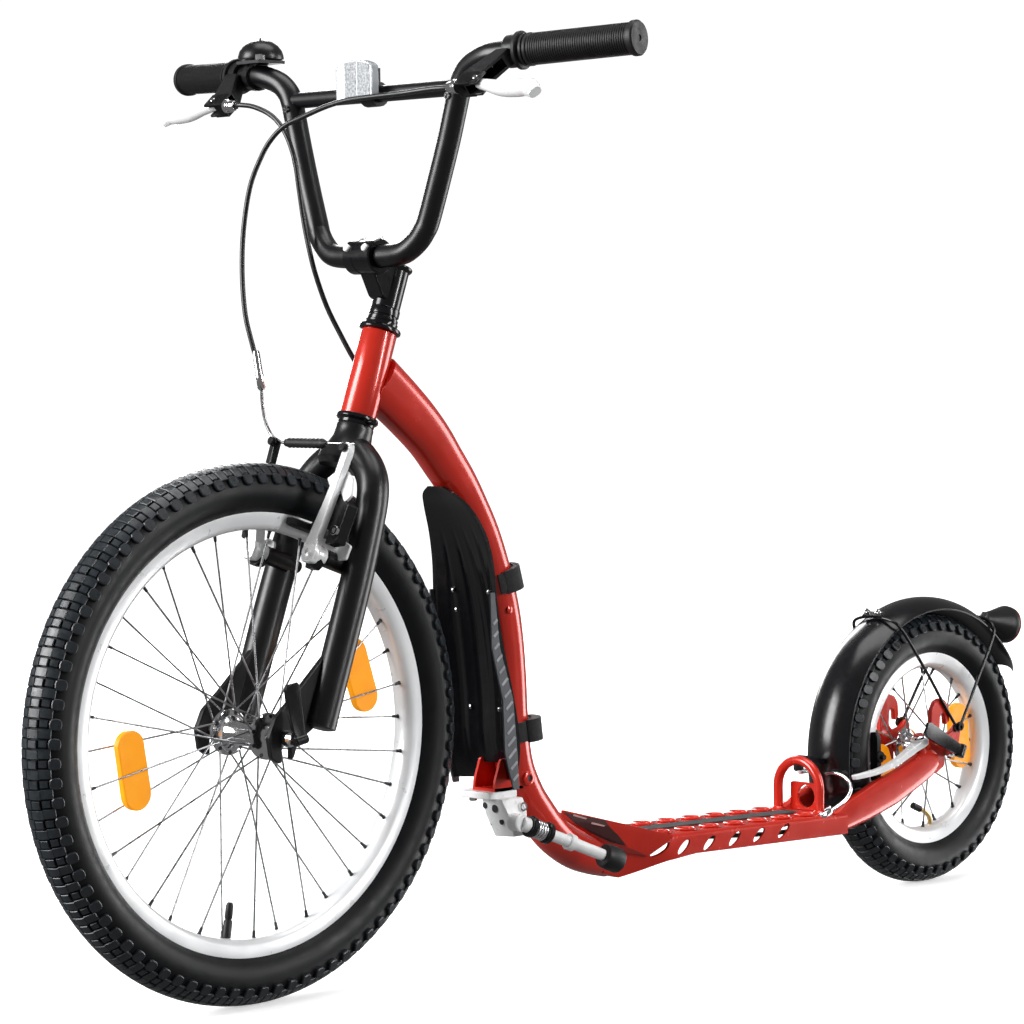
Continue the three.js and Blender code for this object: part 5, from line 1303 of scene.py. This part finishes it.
UPPER_FOLD = [(21, -6), (24, 0), (25.6, 6), (25.8, 12), (23, 18), (17.5, 22.5), (10, 25), (2, 25),
              (2, 22.4), (10, 20), (16, 15.6), (20, 9), (21, 0)]
LOWER_FOLD = [(22, 1), (26, 5), (28, 12), (26.5, 19), (21, 24.5), (13, 26.5), (5, 26), (3, 22.6),
              (10, 20.5), (16, 16), (20.5, 9)]
strap("upper_strap", (323.7, 370.5), (318.3, 390), UPPER_FOLD)
strap("lower_strap", (342.3, 218.5), (339.8, 238.5), LOWER_FOLD)

# Kickstand
CHEEK = [(303, 171), (304, 181), (312, 203), (345, 203), (352, 171)]
cheeks = both(plate(rounded(CHEEK, 3), 13, 16))
floor_plate = block((0, 327.5, 172.5), 32, 49, 3)
dress("kickstand_bracket", joined(cheeks, floor_plate), RED, "frame")
PIVOT = Vector((35, 309, 142.3))  # of the leg, drawn folded up along the bike
leg_turn = math.radians(22.6)
leg_way = Vector((0.115, math.cos(leg_turn), -math.sin(leg_turn))).normalized()
leg_root = PIVOT + X * 12.6


def on_leg(distance):
    return leg_root + leg_way * distance


cast_plate = block((-6, 314, 167.2), 46, 38, 7)
body_block = hull([
    (0, 300, 164.5), (0, 329, 164.5), (29, 300, 164.5), (29, 329, 164.5), (35, 303, 150),
    (35, 329, 150), (35, 311, 127), (35, 329, 127), (10, 308, 126), (10, 329, 126), (3, 302, 148)])
dress("kickstand_block", joined(cast_plate, body_block), CAST, "frame", bevel=1.0)
# Dark discs in the block's recesses: painted shade where the recesses lie in shadow
recess_shades = [rod((x, 300.2 + dy, z), (x, 300.2 + dy - 0.7, z), r, 20, 0.2)
            for x, z, r, dy in ((4, 157, 3.4, 1), (18, 155, 4.2, 1.2), (24, 142, 3.2, 4.5),
                                (8, 140, 2.6, 5.3))]
piece("kickstand_block_painted_recess_shade", joined(*recess_shades), DARK_STEEL_AND_SHADE, "frame")
head = hexagon((-22, 309, 163.6), (0, 0, -1), 4, 5)
pocket_rims = [lathe([(3, 0), (4.6, 0), (4.6, 0.9), (3, 0.9), (3, 0)], (35, 316 + dy, 150 + dz),
                     (36, 316 + dy, 150 + dz), 20) for dy, dz in ((8, 6), (6, -12))]
piece("kickstand_block_bolts", joined(head, *pocket_rims), CHROME, "frame")
leg_shape = joined(
    lathe([(0, 0), (8.2, 0), (9, 0.8), (9, 13), (8, 14), (0, 14)], PIVOT + X * 0.3,
          PIVOT + X * 14.3, 32),
    rod(leg_root, on_leg(109.7), 6, 28),
    rod(leg_root, on_leg(9), 7.6, 28, 1),
)
dress("kickstand_leg", leg_shape, SILVER, "kickstand")
LEG_COLLAR = [(6, 0), (10, 0), (11, 1), (11, 5), (10, 6), (6, 6), (6, 0)]
for k, start in enumerate((9, 31)):
    piece(f"kickstand_collar_{k + 1}", lathe(LEG_COLLAR, on_leg(start), on_leg(start + 6), 36),
          SHINY_PLASTIC, "kickstand")
foot_profile = [(0, 0), (9.6, 0), (11.6, 1), (12.5, 4), (12.9, 10), (12.9, 20), (12.2, 21.6),
                (0, 22)]
dress("kickstand_foot", lathe(foot_profile, on_leg(110), on_leg(132), 40), RUBBER, "kickstand")
side_axis = X.cross(leg_way).normalized()
other_axis = leg_way.cross(side_axis)
SPRING_FROM, SPRING_TO, SPRING_R = 16.6, 30, 8.6
SPRING_STEPS = 4 * 24  # turns, by steps in each
coil = []
for i in range(SPRING_STEPS + 1):
    a = TAU * i / 24
    distance = SPRING_FROM + (SPRING_TO - SPRING_FROM) * i / SPRING_STEPS
    coil.append(on_leg(distance) + side_axis * (SPRING_R * math.cos(a))
                + other_axis * (SPRING_R * math.sin(a)))
dress("kickstand_spring", tube(coil, 1.15, 10), CHROME, "kickstand")
bracket_ring = lathe([(6.1, 0), (8.4, 0), (8.4, 7), (6.1, 7), (6.1, 0)], on_leg(62), on_leg(69), 28)
piece("kickstand_leg_ring", bracket_ring, SILVER, "kickstand")

# Front brake arms: drawn along the steering axis
ARM_OUTLINE = [
    (36, 424), (50, 424), (53, 434), (51, 448), (53, 462), (56, 480), (59, 500), (62, 520),
    (64, 534), (62, 542), (56, 542), (54.5, 530), (52, 510), (48, 490), (42, 466), (37, 448),
    (33.5, 434),
]


def across_steering(outline, low, high, radius=2.0):
    """A plate across the steering axis, between two places along the bike."""
    return plate(rounded(outline, radius), low, high, STEERED_FACE, ORIGIN)


def at_stud(n):
    return steered((STUD_X, n, STUD_S))


boss = lathe([(6.6, 0), (9.5, 0), (9.5, 11), (8.6, 13), (6.6, 13), (6.6, 0)], at_stud(-37),
             at_stud(-50), 36)
cap = lathe([(0, 0), (10.4, 0), (10.2, 2.4), (8.4, 5), (5, 6.6), (2.8, 6.8), (2.8, 5), (0, 5)],
            at_stud(-50.2), at_stud(-56.6), 32)
WING_OUTLINE = [
    (34, 508), (44, 515), (60, 516), (70, 509), (74, 492), (67, 485), (58, 496), (42, 499),
]
wing_plate = across_steering(WING_OUTLINE, -47, -43.5)
arms = {
    "left": across_steering(ARM_OUTLINE, -55, -47, 3),
    "right": across_steering([p for p in ARM_OUTLINE if p[1] < 505], -56, -44, 3),
}
link = across_steering([(46, 488), (53, 488), (53, 545), (46, 545)], -54, -46)
nut = hexagon(steered((66, -47.2, 457)), -N_AXIS, 4.8, 3, 2.8)
lug = across_steering([(45, 434), (62, 436), (64, 450), (56, 453), (46, 449)], -24, -21)
holder = hull([steered(p) for p in (
    (54, -47, 444), (69, -47, 446), (74, -47, 484), (60, -47, 492), (54, -34, 444),
    (69, -34, 446), (74, -34, 484), (60, -34, 492))])
spring_holder = hull([steered(p) for p in (
    (30, -38, 424), (36, -38, 420), (46, -38, 420), (52, -38, 426), (52, -46, 432),
    (36, -48, 420), (46, -48, 420), (30, -44, 428))])
# The left arm clamps the wire, the right arm carries the link that holds the cable's lead
pinch_feet = {"left": steered((58, -55.2, 536)), "right": steered((49, -54.2, 541))}
for side, make in SIDES:
    body = f"front_{side}_brake"
    dress(f"{body}_arm", make(joined(arms[side], boss)), SILVER, body, bevel=1.0)
piece("front_right_brake_link", mirrored(link), SHINY_PLASTIC, "front_right_brake", bevel=0.8)
for side, make in SIDES:
    body = f"front_{side}_brake"
    piece(f"{body}_cap", make(cap), SILVER, body)
    piece(f"{body}_wing", make(wing_plate), SILVER, body, bevel=0.7)
    piece(f"{body}_lug", make(lug), SILVER, "steering", bevel=0.6)
    piece(f"{body}_pad_holder", make(holder), SHINY_PLASTIC, body, bevel=1.5)
    pinch = rod(pinch_feet[side], pinch_feet[side] - N_AXIS * 4, 4.4, 20, 0.6)
    piece(f"{body}_bolts", make(nut), CHROME, body)
    piece(f"{body}_pinch", make(pinch), SHINY_PLASTIC, body)
    piece(f"{body}_spring_holder", make(spring_holder), SHINY_PLASTIC, body, bevel=1)


PAD_INNER = 15.6
PAD_SECTION = ((PAD_INNER, -4.3), (19, -4.6), (25.2, -3.2), (25.5, 0), (25.2, 3.2), (19, 4.6),
               (PAD_INNER, 4.3))
FRONT_PAD_R, REAR_PAD_R = 201.5, 100.8  # of the pads' middles, from their axles


def pad_shape(centre, turn, post_end):
    """A brake pad curved with its rim, and its post."""
    rows = []
    along = Vector((0, math.cos(turn), math.sin(turn)))
    over = Vector((0, -math.sin(turn), math.cos(turn)))
    for i in range(13):
        t = -1 + 2 * i / 12
        end = 1 - 0.35 * max(0, abs(t) - 0.8) / 0.2
        mid = centre + along * (27 * t)
        row = []
        for x, h in PAD_SECTION:
            x = PAD_INNER + (x - PAD_INNER) * end
            row.append(Vector((x, mid.y, mid.z)) + over * (h * end))
        rows.append(row)
    post = rod((20, centre.y, centre.z), (post_end, centre.y, centre.z), 3, 20)
    washer = rod((25.5, centre.y, centre.z), (28.5, centre.y, centre.z), 6.4, 24, 0.8)
    return joined(skin(rows, closed=True), post, washer)


pad_turn = math.radians(71.5)
front_pad_centre = Vector((0, FRONT_PAD_R * math.cos(pad_turn),
                           FRONT["r"] + FRONT_PAD_R * math.sin(pad_turn)))
front_pad = pad_shape(front_pad_centre, pad_turn - math.pi / 2, 38)
rear_pad = pad_shape(Vector((0, REAR["y"] - REAR_PAD_R, REAR["r"])), math.pi / 2, 33)
for end, shape in (("front", front_pad), ("rear", rear_pad)):
    for side, make in SIDES:
        body = f"{end}_{side}_brake"
        dress(f"{body}_pad", make(shape), RUBBER, body, angle=30)

# Rear brake arms
REAR_ARM_LENGTH, REAR_ARM_SAG = 119, 8
REAR_ARM = [(-8, -7), (8, -7), (8.5, 4), (6.5, 14), (5.5, 26), (5, 40), (4.6, 54), (4.4, 68),
            (4, 82), (3.8, 96), (3.6, 108), (3.4, REAR_ARM_LENGTH), (-2.6, REAR_ARM_LENGTH),
            (-2.6, 108), (-2.8, 96), (-3, 82), (-3, 68), (-3, 54), (-3.4, 40), (-4, 26), (-6, 14),
            (-8.5, 4)]
rear_arm = plate(rounded(REAR_ARM, 2, 1), -4, 4, (pin_way.cross(arm_way), arm_way, pin_way),
                 pivot + X)


def sagging(p):
    """The rear arm's curve, and its taper towards the cable."""
    along = (p - pivot).dot(arm_way)
    share = min(1, max(0, along / REAR_ARM_LENGTH))
    slim = (p - pivot).dot(pin_way) * -0.35 * share
    return p + pin_way * (slim - REAR_ARM_SAG * math.sin(math.pi * share))


curved_arm = moved(rear_arm, sagging)
rear_boss = lathe([(6.6, 0), (9.5, 0), (9.5, 8.6), (6.6, 8.6), (6.6, 0)], pivot - pin_way * 4.3,
                  pivot + pin_way * 4.3, 32)
rear_cap = lathe([(0, 0), (8, 0), (7.6, 2.2), (5.6, 3.8), (2.6, 4.2), (2.4, 3), (0, 3)],
                 pivot + pin_way * 4.5, pivot + pin_way * 10, 28)
for side, make in SIDES:
    body = f"rear_{side}_brake"
    dress(f"{body}_arm", make(joined(curved_arm, rear_boss)), SILVER, body, bevel=1.0)
    piece(f"{body}_cap", make(rear_cap), CHROME, body, slot="aluminium")

# Brake levers: a frame at the lever's pin, +Y to the bar and +Z along the pin
LEVER_PIN = Vector((190, 131, 857))
lever_turn = Matrix.Rotation(math.radians(41.8), 3, "X")


def at_lever(p):
    return LEVER_PIN + lever_turn @ Vector(p)


def lever_blade():
    """A pressed metal blade, broad and flat by the pin, hooked at its tip."""
    stations = [
        (0, 0, 0, 4.4, 4.4), (15, -3, -1, 4.8, 5.8), (35, -6.4, -3, 6.2, 7.6),
        (55, -6.8, -3.6, 6.6, 8.8), (67, -6.6, -3.6, 6.2, 9), (74, -9.2, -5, 5.2, 7.8),
        (78, -11.6, -6.6, 4, 6),
    ]
    centres = spline([s[:3] for s in stations], 6)
    sizes = spline([(s[3], s[4], 0) for s in stations], 6)
    rows = [
        oval(centre, (Z.cross(way).normalized(), thick, 0.8), (Z, half, 0.6), 16)
        for centre, (half, thick, _), way in zip(centres, sizes, ways(centres))
    ]
    return moved(skin(rows, closed=True), at_lever)


body_shape = moved(block((-7.5, 0, 0), 29, 18, 16), at_lever)
web_shape = moved(hull([
    (-22, -9, -8), (-22, 9, -8), (-2, -9, -8), (-2, 9, -8), (-22, -9, 8), (-22, 9, 8),
    (-2, -9, 8), (-2, 9, 8), (-2, 40, -8), (-2, 40, 8), (14, 40, -8), (14, 40, 8)]), at_lever)
adjuster_shape = moved(
    lathe([(0, 0), (7, 0), (7, 5), (5.6, 6), (5.6, 10), (4.6, 14), (0, 14)],
          (-22, -5, 2), (-36, -5, 2), 14), at_lever)
lever_pin = moved(rod((0, 0, -8.6), (0, 0, 8.6), 2.8, 20, 0.5), at_lever)
slot_tool = moved(block((5, 0, 0), 27, 60, 9.8), at_lever)
bar_near = [p for p in bar_half if p.x > 150]
bar_tool = tube([*bar_near[:-1], bar_near[-1] + grip_way * 10], 11.4, 32)
ring_centre = Vector((196, 171.2, 887.8))
ring = rod(ring_centre - grip_way * 6, ring_centre + grip_way * 6, 15.4, 40, 1)
for side, make in SIDES:
    bracket = f"{side}_brake_bracket"
    carve(dress(bracket, make(body_shape), PLASTIC, "steering", bevel=1.2), make(slot_tool))
    web_piece = piece(f"{bracket}_web", make(web_shape), PLASTIC, "steering")
    carve(web_piece, make(slot_tool), make(bar_tool))
    reshaded(web_piece)
    ring_piece = piece(f"{bracket}_ring", make(ring), PLASTIC, "steering")
    carve(ring_piece, make(bar_tool))
    reshaded(ring_piece)
    piece(f"{side}_brake_adjuster", make(adjuster_shape), CHROME, "steering", bevel=0.4)
    piece(f"{side}_brake_pin", make(lever_pin), CHROME, "steering")
    dress(f"{side}_brake_lever", make(lever_blade()), SILVER, f"{side}_lever")

# Bell
BELL = Vector((-174, 176, 903))
dome = lathe([(0, 19.6), (6, 19.2), (12, 17.4), (17.5, 13.6), (21.2, 8.6), (22.6, 4.4), (23, 1),
              (22.6, 0), (21.6, 0.2), (21.2, 4), (19.6, 8.4), (16, 12.4), (11, 15.6), (6, 17.4),
              (0, 17.8)], BELL, BELL + Z, 64)
dress("bell_dome", dome, SATIN, "steering")
piece("bell_screw", lathe([(0, 19.4), (3.6, 19.4), (3.4, 22), (0, 22.6)], BELL, BELL + Z, 24),
      CHROME, "steering")

# Front reflector: a lens with a bowed top, and its two panels
LENS_HALF, LENS_FOOT = 26, 853
lens_outline = [(-LENS_HALF, LENS_FOOT), (LENS_HALF, LENS_FOOT)] + [
    (LENS_HALF * math.cos(a * 0.999), LENS_FOOT + 30 + 8 * math.sin(a))
    for a in (math.pi * k / 20 for k in range(21))]
lens = plate(lens_outline, 145.2, 154.8, FACING_BACK)
dress("front_reflector", lens, CLEAR, "steering", bevel=1.2)
panels = joined(
    plate([(-13, 855), (4, 855), (4, 889.6), (-13, 888.6)], 144.9, 145.3, FACING_BACK),
    plate([(6, 855), (23, 855), (23, 886), (6, 889.4)], 144.9, 145.3, FACING_BACK),
)
piece("front_reflector_prisms", panels, PRISM, "steering")

# Finishes of the CAD nodes that stay in view
SHOWN = {
    "bell_base": PLASTIC, "bell_striker": CHROME, "front_reflector_bracket": PLASTIC,
}
for node, look in SHOWN.items():
    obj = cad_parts[node]
    obj.data.materials.clear()
    obj.data.materials.append(look)


# Floor, sky and lights
def sheet(name, corners, look_name, strength, grey=0.0):
    """A glowing sheet through four points in metres, and its look; it lights nothing."""
    mesh = bpy.data.meshes.new(name)
    mesh.from_pydata(corners, [], [(0, 1, 2, 3)])
    obj = bpy.data.objects.new(name, mesh)
    scene.collection.objects.link(obj)
    obj.visible_diffuse = False
    look = bpy.data.materials.new(look_name)
    look.use_nodes = True
    inputs = look.node_tree.nodes["Principled BSDF"].inputs
    inputs["Base Color"].default_value = (grey, grey, grey, 1)
    inputs["Emission Color"].default_value = (1, 1, 1, 1)
    inputs["Emission Strength"].default_value = strength
    mesh.materials.append(look)
    return obj, look


# The floor glows brighter away from the bike, so that it fades into the backdrop
SIZE = 60
WHITE = 1.05
floor, floor_look = sheet(
    "floor", [(-SIZE, -SIZE, 0), (SIZE, -SIZE, 0), (SIZE, SIZE, 0), (-SIZE, SIZE, 0)],
    "pale_floor", 1.0, grey=0.9)
floor.location.z = -0.0005
floor_nodes, floor_links = floor_look.node_tree.nodes, floor_look.node_tree.links
floor_inputs = floor_nodes["Principled BSDF"].inputs
floor_inputs["Roughness"].default_value = 0.8
floor_inputs["Specular IOR Level"].default_value = 0.0
spread = floor_nodes.new("ShaderNodeVectorMath")
spread.operation = "LENGTH"
floor_links.new(floor_nodes.new("ShaderNodeTexCoord").outputs["Object"], spread.inputs[0])
fade = floor_nodes.new("ShaderNodeMapRange")
for socket, value in (("From Min", 1.0), ("From Max", 2.6), ("To Min", 0.5), ("To Max", WHITE)):
    fade.inputs[socket].default_value = value
floor_links.new(spread.outputs["Value"], fade.inputs["Value"])
floor_links.new(fade.outputs["Result"], floor_inputs["Emission Strength"])
floor.visible_glossy = False
floor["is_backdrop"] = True

backdrop, _ = sheet("backdrop", [place((x, y, z)) for x, y, z in (
    (-SIZE * 900, 20000, -SIZE * 100), (-2500, SIZE * 900, -SIZE * 100),
    (-2500, SIZE * 900, SIZE * 400), (-SIZE * 900, 20000, SIZE * 400))], "white_backdrop", WHITE)
backdrop.visible_glossy = False
backdrop.visible_shadow = False
backdrop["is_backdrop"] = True

# A bright card behind to the right, seen only as a reflection along the tubes
card, _ = sheet("card", [(2.9, 4.6, -2.6), (0.9, 5.4, -2.6), (0.9, 5.4, 2.0), (2.9, 4.6, 2.0)],
                "bright_card", 7)
card.visible_camera = False
card.visible_shadow = False
card.visible_transmission = False
card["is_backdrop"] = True

world = bpy.data.worlds.new("studio")
scene.world = world
world.use_nodes = True
background = world.node_tree.nodes["Background"]
background.inputs["Color"].default_value = (1, 1, 1, 1)
background.inputs["Strength"].default_value = 0.2


def softbox(name, position, target, width, height, power):
    light = bpy.data.lights.new(name, "AREA")
    light.shape = "RECTANGLE"
    light.size, light.size_y = width, height
    light.energy = power
    obj = bpy.data.objects.new(name, light)
    scene.collection.objects.link(obj)
    obj.location = position
    way = Vector(target) - Vector(position)
    obj.rotation_euler = way.to_track_quat("-Z", "Y").to_euler()


softbox("key", (-1.5, -3.2, 1.7), (0, -0.2, 0.4), 1.8, 2.2, 200)
softbox("side", (3.5, 1.2, 1.6), (0, 0, 0.4), 0.3, 2.4, 90)
softbox("top", (0.2, 0.2, 3.3), (0, 0, 0.2), 1.6, 2.6, 52)
softbox("rim", (-3.0, 1.8, 1.6), (0, 0, 0.4), 0.8, 2.4, 60)
scene.view_settings.view_transform = "Standard"
scene.view_settings.look = "None"

low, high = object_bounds()
